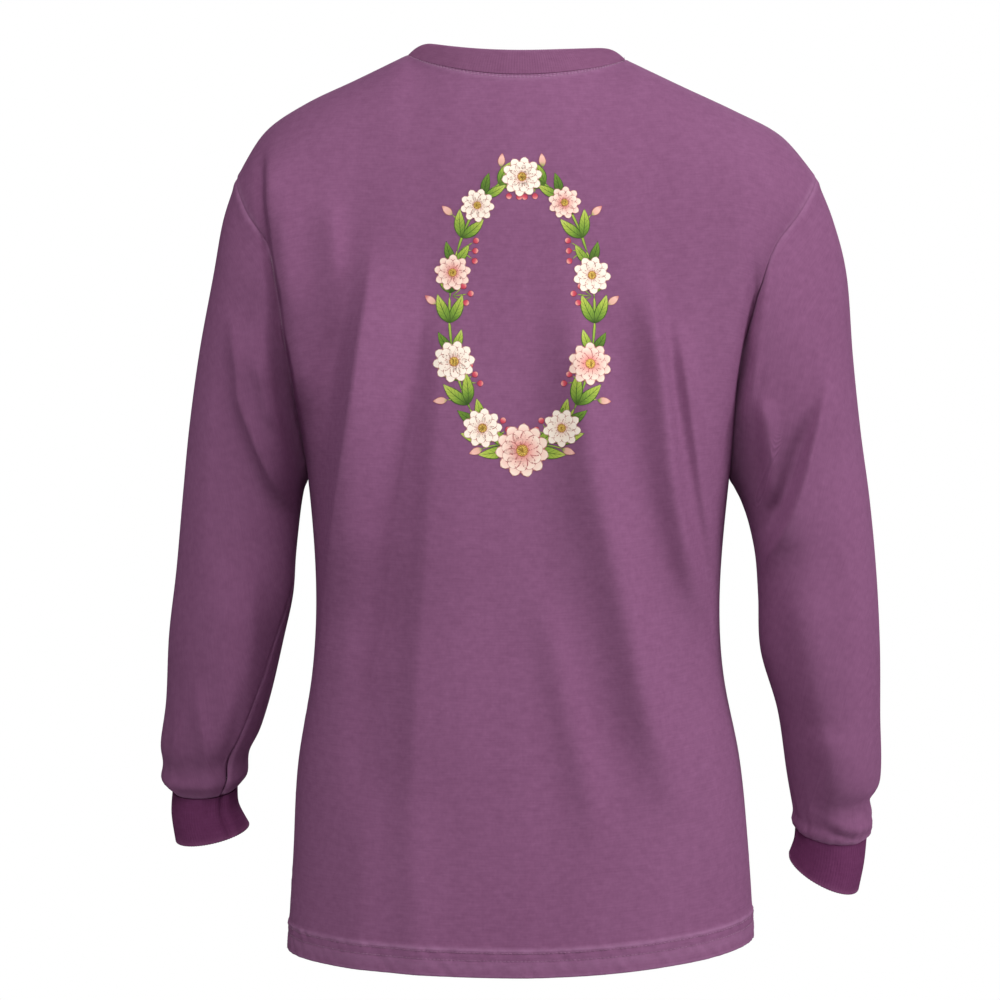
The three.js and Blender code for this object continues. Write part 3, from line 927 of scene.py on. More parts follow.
@dataclass(frozen=True)
class ThreadFinish:
    """Dyed sewing thread, twisted and slightly shiny."""

    name: str
    deep: Colour
    pale: Colour

    def build(self) -> bpy.types.Material:
        """Makes the finish's material.

        Returns:
            The material.
        """
        graph = Graph(self.name)
        place = graph.add("TexCoord").outputs["Object"]
        strands = graph.noise(place, (1400, 1400, 1400), 2)
        patches = graph.noise(place, (40, 40, 40), 2)
        total = graph.plus(graph.times(strands, 0.5), graph.times(patches, 0.5))
        colour = graph.ramp(total, ((0.38, self.deep), (0.62, self.pale)))
        graph.link(colour, graph.shader.inputs["Base Color"])
        graph.bump(strands, 0.12)
        graph.settings({"Roughness": 0.7, "Sheen Weight": 0.2})
        return graph.material


@dataclass(frozen=True)
class InkFinish:
    """Ink drawn as a botanical print: shaded along its length, veined, with a fine outline.

    Attributes:
        name: The material's name.
        stops: Colours from the shape's root to its tip.
        line: Colour of the outline and veins.
        veins: How many veins leave the middle; none where it is 0.
        slant: How far a vein climbs towards the tip, as a share of the length.
        edge: Width of the outline, as a share of half the width.
    """

    name: str
    stops: tuple[tuple[float, Colour], ...]
    line: Colour
    veins: int = 0
    slant: float = 0.25
    edge: float = 0.12

    def build(self) -> bpy.types.Material:
        """Makes the finish's material.

        Returns:
            The material.
        """
        graph = Graph(self.name)
        coordinates = graph.add("TexCoord")
        place = coordinates.outputs["Object"]
        parts = graph.add("SeparateXYZ")
        graph.link(coordinates.outputs["UV"], parts.inputs[0])
        from_middle = graph.math("ABSOLUTE", graph.math("SUBTRACT", parts.outputs[0], 0.5))
        out = graph.times(from_middle, 2.0)
        blots = graph.math("SUBTRACT", graph.noise(place, (90, 90, 90), 4), 0.5)
        wash = graph.times(blots, 0.5)
        colour = graph.ramp(graph.plus(parts.outputs[1], wash), self.stops)
        outline = self.band(graph, out, 1 - self.edge)
        marks = graph.math("MAXIMUM", outline, self.band(graph, parts.outputs[1], 0.955))
        if self.veins:
            climb = graph.math("SUBTRACT", parts.outputs[1], graph.times(out, self.slant))
            wave = graph.math("SINE", graph.times(climb, TAU * self.veins))
            vein = graph.times(self.band(graph, wave, 0.9), 0.55)
            rib = self.band(graph, graph.math("SUBTRACT", 1.0, out), 0.94)
            marks = graph.math("MAXIMUM", marks, graph.math("MAXIMUM", vein, rib))
        grain = graph.plus(graph.noise(place, (500, 500, 500), 3), 0.35)
        marks = graph.math("MINIMUM", graph.times(marks, grain), 1.0)
        graph.link(graph.blend("MIX", marks, colour, self.line), graph.shader.inputs["Base Color"])
        graph.bump(graph.noise(place, (700, 700, 900), 3), 0.12)
        graph.settings({"Roughness": 0.8, "Specular IOR Level": 0.25})
        return graph.material

    def band(self, graph: Graph, value: bpy.types.NodeSocket, start: float) -> bpy.types.NodeSocket:
        """1 where a value has passed start, with a soft edge.

        Args:
            graph: The material's nodes.
            value: The value's output.
            start: Where the edge lies.

        Returns:
            The band's output.
        """
        node = graph.add("MapRange", interpolation_type="SMOOTHSTEP")
        node.inputs["From Min"].default_value = start - 0.03
        node.inputs["From Max"].default_value = start + 0.03
        graph.link(value, node.inputs["Value"])
        return node.outputs[0]


class Finish(Enum):
    """The finishes of the shirt, by name."""

    JERSEY = "jersey"
    RIB = "rib"
    THREAD = "thread"
    TAPE = "tape"
    PRINT = "print"


RECIPES = {
    Finish.JERSEY: ClothFinish("garment_dyed_jersey", (0.215, 0.082, 0.173), (0.280, 0.116, 0.232),
                               (0.37, 0.18, 0.32)),
    Finish.RIB: ClothFinish("rib_knit", (0.188, 0.070, 0.146), (0.240, 0.098, 0.192),
                            (0.31, 0.14, 0.26), wale=1.2, relief=0.08),
    Finish.THREAD: ThreadFinish("sewing_thread", (0.23, 0.090, 0.185), (0.32, 0.145, 0.265)),
    Finish.TAPE: ClothFinish("twill_tape", (0.12, 0.042, 0.098), (0.19, 0.075, 0.155),
                             (0.26, 0.12, 0.22), wale=0.8),
}

TOPSTITCH = ThreadFinish("topstitch_thread", (0.31, 0.135, 0.26), (0.42, 0.21, 0.36))
# The cuffs' rib, in colours darker than the collar's rib: that difference is painted shade, for the
# shade that falls on the cuffs below the sleeves.
CUFF_RIB_PAINTED_SHADE = ClothFinish("cuff_rib_knit_painted_shade", (0.118, 0.028, 0.086), (0.158, 0.042, 0.118),
                       (0.21, 0.07, 0.16), wale=1.2, relief=0.08)


class Wardrobe:
    """The materials, each built once, and the last steps that every piece takes."""

    def __init__(self) -> None:
        """Starts with no material built."""
        self.built: dict[str, bpy.types.Material] = {}

    def material(self, recipe: ClothFinish | ThreadFinish | InkFinish) -> bpy.types.Material:
        """The material of a recipe.

        Args:
            recipe: The finish that it is built from.

        Returns:
            The material, the same one each time.
        """
        if recipe.name not in self.built:
            self.built[recipe.name] = recipe.build()
        return self.built[recipe.name]

    def dress(self, piece: bpy.types.Object, finish: Finish, *nodes: str,
              recipe: ClothFinish | ThreadFinish | InkFinish | None = None) -> bpy.types.Object:
        """Gives a piece its finish, hangs it from the root body's empty, and hides the imported
        parts that it stands for.

        Args:
            piece: The piece.
            finish: Its kind of finish, whose recipe it takes unless another is given.
            nodes: The nodes that it stands for.
            recipe: Its recipe, where that isn't the finish's own.

        Returns:
            The piece.
        """
        piece.data.materials.clear()
        piece.data.materials.append(self.material(recipe or RECIPES[finish]))
        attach(piece, ROOT)
        if nodes:
            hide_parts(*nodes)
        LOG.info("%s: %d faces", piece.name, len(piece.data.polygons))
        return piece


# ---- Stitches -------------------------------------------------------------------------------


@dataclass(frozen=True)
class Stitching:
    """A row of separate stitches along a line on the cloth.

    Attributes:
        pitch: From one stitch to the next, in mm.
        length: Length of a stitch, in mm.
        width: Width of the thread, in mm.
        slant: Angle of each stitch to the row, in degrees.
        stand: How far its middle stands off the line, in mm.
    """

    pitch: float = 3.2
    length: float = 2.9
    width: float = 0.62
    slant: float = 0.0
    stand: float = 0.1

    def sew(self, bm: bmesh.types.BMesh, line: Points, normals: Points) -> None:
        """Adds the stitches to a mesh.

        Args:
            bm: The mesh.
            line: Points along the row, in mm.
            normals: The cloth's outward normal at each.
        """
        steps = np.linalg.norm(np.diff(line, axis=0), axis=1)
        reach = np.concatenate([[0.0], np.cumsum(steps)])
        count = max(2, int(reach[-1] / self.pitch))
        places = (np.arange(count) + 0.5) * reach[-1] / count
        spot = np.stack([np.interp(places, reach, line[:, k]) for k in range(3)], axis=1)
        ahead = np.stack([np.interp(places + 1, reach, line[:, k]) for k in range(3)], axis=1)
        behind = np.stack([np.interp(places - 1, reach, line[:, k]) for k in range(3)], axis=1)
        up = np.stack([np.interp(places, reach, normals[:, k]) for k in range(3)], axis=1)
        lean = Matrix.Rotation(math.radians(self.slant), 4, "Z")
        size = Matrix.Diagonal((self.length / 2, self.width / 2, self.width / 2.4, 1))
        for p, a, b, n in zip(spot, ahead, behind, up):
            run = Vector(a - b).normalized()
            out = Vector(n).normalized()
            side = out.cross(run).normalized()
            turned = Matrix((run, side, run.cross(side))).transposed().to_4x4()
            centre = Matrix.Translation((Vector(p) + out * self.stand) * MM)
            shape = centre @ turned @ lean @ Matrix.Scale(MM, 4) @ size
            bmesh.ops.create_uvsphere(bm, u_segments=6, v_segments=4, radius=1, matrix=shape)


def stitched(name: str, rows: Sequence[tuple[Stitching, Points, Points]]) -> bpy.types.Object:
    """One object that holds rows of stitches.

    Args:
        name: The object's name.
        rows: Each row's stitching, line and normals.

    Returns:
        The object.
    """
    bm = bmesh.new()
    for stitching, line, normals in rows:
        stitching.sew(bm, line, normals)
    return finished(name, bm)


@dataclass(frozen=True)
class Overlock:
    """An inner seam: two edges of cloth laid together and bound by a zigzag of thread."""

    width: float = 6.0
    thickness: float = 1.6
    pitch: float = 2.6
    inset: float = 1.6

    def build(self, name: str, line: Points, inward: Points) -> bpy.types.Object:
        """The seam as one object.

        Args:
            name: The object's name.
            line: Points along the seam's line on the outside of the cloth, in mm.
            inward: The way into the shirt at each, away from the cloth.

        Returns:
            The object.
        """
        run = np.gradient(line, axis=0)
        run /= np.linalg.norm(run, axis=1, keepdims=True)
        inward = inward / np.linalg.norm(inward, axis=1, keepdims=True)
        side = np.cross(run, inward)
        centre = line + inward * (self.inset + self.width / 2)
        turns = np.linspace(0, TAU, 9)
        ridge = 1 + 0.16 * np.sin(np.arange(len(line)) * 2.1)[:, None]
        wide, thick = np.cos(turns) * self.width / 2, np.sin(turns) * self.thickness / 2
        section = (
            centre[:, None]
            + inward[:, None] * wide[None, :, None]
            + side[:, None] * (thick[None] * ridge)[..., None]
        )
        core = Cloth(section, closed=True)
        core.face_away_from(centre[:, None])
        piece = core.build(name, {})
        bm = bmesh.new()
        bm.from_mesh(piece.data)
        ends = [edge for edge in bm.edges if edge.is_boundary]
        bmesh.ops.holes_fill(bm, edges=ends, sides=8)
        stitch = Stitching(self.pitch, self.width * 1.02, 0.7, slant=72, stand=self.thickness / 2)
        stitch.sew(bm, centre, side)
        stitch.sew(bm, centre, -side)
        for face in bm.faces:
            face.smooth = True
        bm.to_mesh(piece.data)
        bm.free()
        return piece


# ---- The pieces of cloth --------------------------------------------------------------------


def panel_columns(count: int) -> Points:
    """Places of a panel's columns across it, from -1 to 1, closer together at its sides."""
    return -1 + 2 * spread(count, SIDE_STEPS, SIDE_STEPS)


@dataclass
class Panel:
    """The back or front of the body, with its sizes in mm.

    Attributes:
        face: The back or the front.
        shape: The body that it is cut for.
        columns: Steps across it.
        hem_steps: Steps up the turned-up hem.
        lower_rows: Steps from the hem to the underarm.
        upper_rows: Steps from the underarm to the upper edge.
        wall: Thickness of the cloth.
        hem: Height of the hem.
        hem_share: The same as a share of the way to the underarm.
        hem_rows: Heights of the hem's two rows of stitches.
        flat: Size laid flat, in metres; not used.
        area: Area laid flat, in square metres; not used.
        seam_depth: How deep a side seam draws the cloth in.
        seam_width: How wide it does.
        side_end: Share of the height over which the side seam gives way to the armhole.
        smooth_down: Rounds of smoothing along the columns at the underarm.
        smooth_across: Rounds of smoothing along the rows above it.
        settle_rounds: Rounds of smoothing beside the neck.
    """

    face: Face
    shape: BodyShape
    columns: int = 232
    hem_steps: int = 18
    lower_rows: int = 92
    upper_rows: int = 98
    wall: float = 0.8
    hem: float = 21
    hem_share: float = 0.066
    hem_rows: tuple[float, float] = (19, 13)
    flat: tuple[float, float] = (0.52, 0.76)
    area: float = 0.34
    seam_depth: float = 0.9
    seam_width: float = 1.8
    side_end: float = 0.05
    smooth_down: int = 160
    smooth_across: int = 60
    settle_rounds: int = 8

    def lay(self) -> Cloth:
        """The panel's grid, draped, with its seams drawn in and its hem turned up.

        Returns:
            The grid.
        """
        hem = np.arange(self.hem_steps) / self.hem_steps
        above = np.linspace(0, 1, self.lower_rows - self.hem_steps + 1)
        lower = np.concatenate([self.hem_share * hem, mix(self.hem_share, 1, above)])
        t = np.concatenate([lower, 1 + spread(self.upper_rows, 0, EDGE_STEPS)[1:]])
        s = panel_columns(self.columns)
        s_grid, t_grid = np.meshgrid(s, t)
        cloth = Cloth(self.relaxed(self.shape.panel(self.face, s_grid, t_grid), t_grid), False)
        cloth.face_away_from(np.array([0.0, 0.0, -360.0]))
        cloth.points = drape(cloth.points)
        edge = cloth.from_side()
        above = ease((t_grid - 1) / self.side_end)
        cloth.push(self.relief(cloth, s_grid, t_grid) * (1 - above * groove(edge, 1.2)))
        cloth.sink(self.seam_depth * groove(edge, self.seam_width) * above)
        if self.face is Face.FRONT:
            self.settle(cloth.points, t_grid)
        return cloth

    def settle(self, points: Points, t: Points) -> None:
        """Smooths the cloth close to the neck and shoulder seams, where its rows crowd together.

        Args:
            points: The panel's places, which are moved.
            t: How far up each lies.
        """
        calm = ease((t - 1.9) / 0.05)[1:-1, 1:-1, None]
        inner = points[1:-1, 1:-1]
        for _ in range(self.settle_rounds):
            around = points[:-2, 1:-1] + points[2:, 1:-1] + points[1:-1, :-2] + points[1:-1, 2:]
            inner += 0.5 * calm * (around / 4 - inner)

    def relaxed(self, points: Points, t: Points) -> Points:
        """Smooths the line where the body meets the shoulders, and keeps the seams in place.

        Args:
            points: The panel's places.
            t: How far up each lies.

        Returns:
            The smoothed places.
        """
        sides = np.minimum(np.arange(self.columns + 1), np.arange(self.columns + 1)[::-1])
        weight = ease(sides[None] / 10) * ease((2 - t) / 0.06) * ease(t / 0.06)
        near = weight * np.exp(-(((t - 1.02) / 0.3) ** 2))
        for _ in range(self.smooth_down):
            middle = (points[:-2] + points[2:]) / 2
            points[1:-1] += near[1:-1, :, None] * 0.5 * (middle - points[1:-1])
        top = weight * ease((t - 1) / 0.3)
        for _ in range(self.smooth_across):
            middle = (points[:, :-2] + points[:, 2:]) / 2
            points[:, 1:-1] += top[:, 1:-1, None] * 0.5 * (middle - points[:, 1:-1])
        return points

    def relief(self, cloth: Cloth, s: Points, t: Points) -> Points:
        """How far the seams, the hem and their puckers stand out, in mm.

        Args:
            cloth: The panel's grid.
            s: How far across each place lies.
            t: How far up each lies.

        Returns:
            The height at each place.
        """
        height, top = cloth.down, cloth.from_end()
        edge = cloth.from_side()
        beside = 1 - ease((t - 1) / self.side_end)
        depth = -self.seam_depth * groove(edge, self.seam_width) * beside
        depth = depth - 0.5 * groove(top, 1.6) + 0.5 * groove(top - 5, 3)
        in_hem = ease((self.hem - height) / 1.6)
        depth += 0.5 * in_hem + 0.9 * groove(height - self.hem, 1.5)
        for row in self.hem_rows:
            depth -= 0.38 * groove(height - row, 1.3)
        roping = ripples(cloth.across + height * 0.7, height, (9, 60), 5)
        depth += 0.4 * roping * in_hem + 0.55 * roping * groove(height - self.hem, 3)
        pucker = ripples(cloth.across, top, (6, 90), 9)
        depth += 0.28 * pucker * groove(top - 4, 6) * (np.abs(s) < self.shape.neck_share)
        along_side = ripples(height, edge, (9, 90), 12)
        depth += 0.35 * along_side * groove(edge - 3, 5)
        return depth

    def build(self, wardrobe: Wardrobe, name: str) -> tuple[bpy.types.Object, Cloth]:
        """Makes the panel and dresses it.

        Args:
            wardrobe: The materials.
            name: The object's name.

        Returns:
            The panel and its grid.
        """
        cloth = self.lay()
        height, top = cloth.down, cloth.from_end()
        edge = cloth.from_side()
        wear = 0.6 * groove(height, 1.6) + 0.8 * groove(height - self.hem, 1.5)
        wear += 0.3 * groove(height - 9, 5) + 0.55 * groove(top - 3, 2.5)
        wear += 0.45 * groove(edge - 1.5, 2)
        marks = {"wear": np.clip(wear, 0, 1), "doubled": ease((self.hem - height) / 1.0)}
        piece = cloth.build(name, marks)
        thicken(piece, 2 * self.wall, 0.5)
        wardrobe.dress(piece, Finish.JERSEY, f"{self.face.word}_panel")
        return piece, cloth


@dataclass
class Sleeve:
    """A sleeve, from the armhole to the cuff.

    Attributes:
        side: The side of the wearer.
        shape: The body that it is sewn to.
        upper_rows: Steps up the panels beside the armhole.
        rows: Steps down the sleeve.
        wall: Thickness of the cloth, in mm.
        flat: Size laid flat, in metres; not used.
        area: Area laid flat, in square metres; not used.
        girth: Length round it for its waves, in mm.
        seam_depth: How deep the armhole's seam draws the cloth in, in mm.
        seam_width: How wide it does, in mm.
    """

    side: Side
    shape: BodyShape
    upper_rows: int = 98
    rows: int = 168
    wall: float = 0.8
    flat: tuple[float, float] = (0.46, 0.56)
    area: float = 0.135
    girth: float = 170
    seam_depth: float = 0.9
    seam_width: float = 1.8

    def surface(self, turn: Points, t: Points) -> Points:
        """Places on the sleeve without its folds.

        Args:
            turn: Places round, from 0 at the underarm by the back to 1.
            t: Places down, from 0 at the armhole to 1 at the cuff.

        Returns:
            The places, in mm.
        """
        line = SLEEVES[self.side]
        share = np.where(turn <= 0.5, turn * 2, 2 - turn * 2)
        s = np.full_like(share, float(self.side.value))
        back = self.shape.upper(Face.BACK, s, share)
        front = self.shape.upper(Face.FRONT, s, share)
        armhole = np.where((turn <= 0.5)[..., None], back, front)
        fade = 1 - ease(t / SLEEVE_BLEND)
        twist = TWIST[self.side] * ease((t - TWIST_START) / (1 - TWIST_START))
        plain = line.ring(self.side, turn + twist, t)
        return plain + (armhole - line.ring(self.side, turn, np.zeros_like(t))) * fade[..., None]

    def lay(self) -> Cloth:
        """The sleeve's grid, draped, gathered into the cuff at its end.

        Returns:
            The grid.
        """
        half = spread(self.upper_rows, 0, EDGE_STEPS) / 2
        turn = np.concatenate([half, 1 - half[::-1][1:]])
        t = spread(self.rows, SIDE_STEPS, SIDE_STEPS)
        turn_grid, t_grid = np.meshgrid(turn, t)
        cloth = Cloth(self.surface(turn_grid, t_grid), True)
        cloth.face_away_from(cloth.points.mean(axis=1, keepdims=True))
        cloth.points = drape(cloth.points)
        end = cloth.from_end()
        depth = -0.9 * groove(end, 2.2) + 0.6 * groove(cloth.down - 5, 3.5)
        waves = ripples(turn_grid * self.girth, end, (14, 90), 21 + self.side.value)
        depth += 0.45 * waves * groove(end - 6, 8) + 0.4 * waves * groove(end - 22, 18)
        depth += 0.3 * ripples(turn_grid * 500, cloth.down, (9, 90), 31) * groove(cloth.down - 4, 6)
        underarm = cloth.from_side()
        depth -= (0.7 + 1.2 * groove(end, 60)) * groove(underarm, 1.8)
        cloth.push(depth * (1 - groove(cloth.down, 1.2)))
        cloth.sink(self.seam_depth * groove(cloth.down, self.seam_width))
        self.roll_over_cuff(cloth, turn_grid)
        return cloth

    def roll_over_cuff(self, cloth: Cloth, turn: Points) -> None:
        """Lets the cloth sag into a soft roll above the cuff, with a crease where it is drawn in.

        Args:
            cloth: The sleeve's grid, which is moved.
            turn: How far round each place lies.
        """
        end = cloth.from_end()
        at = TAU * (turn + TWIST[self.side])
        outer = ease((1 - np.cos(at)) / 2 * 1.6 - 0.3)
        behind = ease(np.sin(at) * 1.5)
        if self.side is Side.LEFT:
            sag = 2.2 * groove(end - 12, 7) - 0.8 * groove(end - 30, 12)
            sag += 1.4 * outer * groove(end - 13, 5) - 1.6 * outer * groove(end - 27, 9)
            sag += (1 - outer) * (1.2 * groove(end - 17, 8) - 1.6 * groove(end - 34, 12))
            reach = ease(end / 10) * ease((120 - end) / 60)
            for low, high, height in ((0.389, 0.375, 1.5), (0.19, 0.29, 1.3), (0.145, 0.185, -1.5)):
                place = mix(low, high, end / 60)
                sag += height * reach * groove((at / TAU - place) * self.girth, 4)
        else:
            crease, strength = 15 - 8 * outer, behind * ease(outer + 0.15)
            sag = 2.8 * groove(end - 6, 5) - 5.5 * groove(end - 31, 9) * outer
            sag += (3.4 * groove(end - crease - 7, 5) - 2.6 * groove(end - crease, 2.4)) * strength
        cloth.push(sag)

    def build(self, wardrobe: Wardrobe) -> tuple[bpy.types.Object, Cloth]:
        """Makes the sleeve and dresses it.

        Args:
            wardrobe: The materials.

        Returns:
            The sleeve and its grid.
        """
        cloth = self.lay()
        underarm = cloth.from_side()
        wear = 0.4 * groove(cloth.down - 1.5, 2) + 0.5 * groove(cloth.from_end() - 2, 3)
        wear += 0.3 * groove(underarm - 1.5, 2)
        piece = cloth.build(f"{self.side.word}_sleeve_cloth", {"wear": np.clip(wear, 0, 1)})
        thicken(piece, self.wall)
        wardrobe.dress(piece, Finish.JERSEY, f"{self.side.word}_sleeve")
        return piece, cloth


@dataclass
class RibBand:
    """A band of rib knit, folded double, whose ribs run across it.

    Attributes:
        name: The object's name.
        node: The node that it stands for.
        ribs: How many ribs it has all round.
        rows: Steps across the band.
        flat: Size of the band laid flat, in metres; not used.
        wall: Thickness of the folded band, in mm.
        rib_height: How far a rib stands out, in mm.
        seam: How deep the seam across the band is, in mm.
        finish: Its finish, where that isn't the collar's.
        edge_rows: Steps round its folded edge.
    """

    name: str
    node: str
    ribs: int
    rows: int
    flat: tuple[float, float]
    wall: float = 1.8
    rib_height: float = 0.13
    seam: float = 0.0
    finish: ClothFinish | None = None
    edge_rows: int = 5

    def build(self, wardrobe: Wardrobe, surface: Callable[[Points, Points], Points]) -> Cloth:
        """Makes the band over a surface and dresses it.

        Args:
            wardrobe: The materials.
            surface: Places on the outside of the band, by the share of a turn and of its width.

        Returns:
            The band's grid.
        """
        samples = 4 * self.ribs
        turn, t = np.meshgrid(np.arange(samples + 1) / samples, spread(self.rows, 3, 3))
        outside = Cloth(surface(turn, t), True)
        outside.face_away_from(outside.points.mean(axis=1, keepdims=True) - np.array([0, 0, 40.0]))
        normals = outside.normals()
        over = np.gradient(outside.points, axis=0)[-1]
        over /= np.linalg.norm(over, axis=1, keepdims=True)
        middle = outside.points - normals * self.wall / 2
        ring = []
        for row in range(self.rows + 1):
            ring.append((middle[row] + normals[row] * self.wall / 2, normals[row]))
        for angle in np.linspace(0, math.pi, self.edge_rows + 2)[1:-1]:
            out = normals[-1] * math.cos(angle) + over * math.sin(angle)
            ring.append((middle[-1] + out * self.wall / 2, out))
        for row in range(self.rows, -1, -1):
            ring.append((middle[row] - normals[row] * self.wall / 2, -normals[row]))
        ring.append(ring[0])
        rib = self.rib_height * np.cos(TAU * self.ribs * turn[0])[:, None]
        reach = outside.from_side()[0][:, None]
        crease = 0.3 * self.seam * groove(reach - 6, 3) - self.seam * groove(reach, 1.4)
        crease -= 0.5 * self.seam * groove(reach, 4)
        outer_rows = len(ring) // 2 - 3
        depth = [ease((outer_rows - row) / 3) for row in range(len(ring))]
        points = drape(np.stack([
            place + out * (rib + crease * share) for (place, out), share in zip(ring, depth)
        ]))
        band = Cloth(points, True)
        band.face_away_from(np.broadcast_to(middle.mean(axis=0), points.shape))
        from_edge = np.abs(spread(self.rows, 3, 3) - 1)
        edge = np.concatenate([from_edge, np.zeros(self.edge_rows), from_edge[::-1], [1.0]])
        wear = 0.8 * np.exp(-((edge / 0.1) ** 2))[:, None] * np.ones_like(points[..., 0])
        piece = band.build(self.name, {"wear": wear})
        wardrobe.dress(piece, Finish.RIB, self.node, recipe=self.finish)
        return outside


@dataclass
class Collar:
    """The rib collar, its topstitching, and the tape behind its seam, with sizes in mm.

    Attributes:
        shape: The body that it is sewn to.
        edge_inset: How far its edge stands inside its seam at the shoulders.
        edge_rise: How far it stands above it there.
        back_edge: Place (y, z) of its edge in the middle of the back.
        front_edge: The same in the middle of the front.
        lift: How far the band bows upwards between seam and edge.
        stitch_rows: How far below the seam each row of stitches runs.
        stitching: The stitches.
        tape_width: Width of the tape.
        tape_wall: Thickness of the tape.
        tape_length: Its length laid flat, in metres; not used.
    """

    shape: BodyShape
    edge_inset: float = 17
    edge_rise: float = 9.5
    back_edge: tuple[float, float] = (-55, -1.5)
    front_edge: tuple[float, float] = (53, -72)
    lift: float = 2.5
    stitch_rows: tuple[float, float] = (1.3, 3.4)
    stitching: Stitching = Stitching(3.0, 2.4, 0.8, stand=0.22)
    tape_width: float = 10
    tape_wall: float = 0.5
    tape_length: float = 0.23

    def surface(self, turn: Points, t: Points) -> Points:
        """Places on the outside of the collar; turn runs once round from the middle of the back.

        Args:
            turn: Places round, from 0 to 1.
            t: Places up, from 0 at the seam to 1 at the edge.

        Returns:
            The places, in mm.
        """
        turn = (turn + 0.25) % 1 - 0.25
        behind = turn < 0.25
        quarter = np.where(behind, turn, 0.5 - turn) * 4
        s = quarter * self.shape.neck_share
        seam = np.where(behind[..., None], self.shape.upper_edge(Face.BACK, s),
                        self.shape.upper_edge(Face.FRONT, s))
        half = self.shape.by_side(quarter, lambda side: self.shape.shoulder[side][0][0])
        top = self.shape.by_side(quarter, lambda side: self.shape.shoulder[side][1][0])
        cosine = np.maximum(np.cos(quarter * math.pi / 2), 0)
        dip = np.where(behind, self.shape.neck_dip[Face.BACK], self.shape.neck_dip[Face.FRONT])
        y = np.where(behind, self.back_edge[0], self.front_edge[0])
        z = np.where(behind, self.back_edge[1], self.front_edge[1])
        edge = np.stack([
            (half - self.edge_inset) * np.sin(quarter * math.pi / 2),
            y * cosine,
            mix(top + self.edge_rise, z, cosine**dip),
        ], axis=-1)
        place = mix(seam, edge, t[..., None])
        place[..., 2] += self.lift * 4 * t * (1 - t)
        return place

    def build(self, wardrobe: Wardrobe, back: Cloth, front: Cloth) -> None:
        """Makes the collar, its stitches and its tape.

        Args:
            wardrobe: The materials.
            back: The back panel's grid.
            front: The front panel's grid.
        """
        RibBand("collar_band", "collar_rib", 250, 12, (0.50, 0.026)).build(wardrobe, self.surface)
        self.topstitch(wardrobe, back, front)
        self.tape(wardrobe, back)

    def topstitch(self, wardrobe: Wardrobe, back: Cloth, front: Cloth) -> None:
        """The twin row of stitches that holds the collar's seam down.

        Args:
            wardrobe: The materials.
            back: The back panel's grid.
            front: The front panel's grid.
        """
        rows = []
        for below in self.stitch_rows:
            for cloth in (back, front):
                line, normals = row_below(cloth, below, self.shape.neck_share)
                rows.append((self.stitching, line, normals))
        wardrobe.dress(stitched("collar_stitches", rows), Finish.THREAD, "collar_thread",
                       recipe=TOPSTITCH)

    def tape(self, wardrobe: Wardrobe, back: Cloth) -> None:
        """The twill tape inside the back of the neck.

        Args:
            wardrobe: The materials.
            back: The back panel's grid.
        """
        rows = []
        reach = self.shape.neck_share * 0.97
        for below in np.linspace(1.5, 1.5 + self.tape_width, 7):
            line, normals = row_below(back, below, reach)
            rows.append(line - normals * (1.3 + 0.12 * math.sin(below * 2)))
        tape = Cloth(np.stack(rows), False)
        tape.face_away_from(tape.points + row_below(back, 4, reach)[1])
        tape.uv = tape.uv[..., ::-1] + tape.uv
        piece = tape.build("neck_tape_strip", {"wear": np.full(tape.points.shape[:2], 0.1)})
        thicken(piece, self.tape_wall)
        wardrobe.dress(piece, Finish.TAPE, "neck_tape")


def row_below(cloth: Cloth, below: float, reach: float) -> tuple[Points, Points]:
    """A line on a panel so far below its neck seam.

    Args:
        cloth: The panel's grid.
        below: How far below the seam, in mm.
        reach: How far to each side it runs, as a share of the panel.

    Returns:
        The line's points and the cloth's normals there.
    """
    s = panel_columns(cloth.points.shape[1] - 1)
    chosen = np.flatnonzero(np.abs(s) <= reach)
    return level_line(cloth, cloth.from_end(), below, chosen)


def level_line(cloth: Cloth, level: Points, value: float, columns: Points) -> tuple[Points, Points]:
    """The line where a level that changes down each column has a value.

    Args:
        cloth: The grid.
        level: The level at each point.
        value: The value to look for.
        columns: The columns to look down.

    Returns:
        The line's points and the cloth's normals there.
    """
    normals = cloth.normals()
    line, outs = [], []
    for column in columns:
        order = np.argsort(level[:, column])
        at = level[order, column]
        line.append([np.interp(value, at, cloth.points[order, column, k]) for k in range(3)])
        outs.append([np.interp(value, at, normals[order, column, k]) for k in range(3)])
    return np.array(line), np.array(outs)


# ---- The print ------------------------------------------------------------------------------


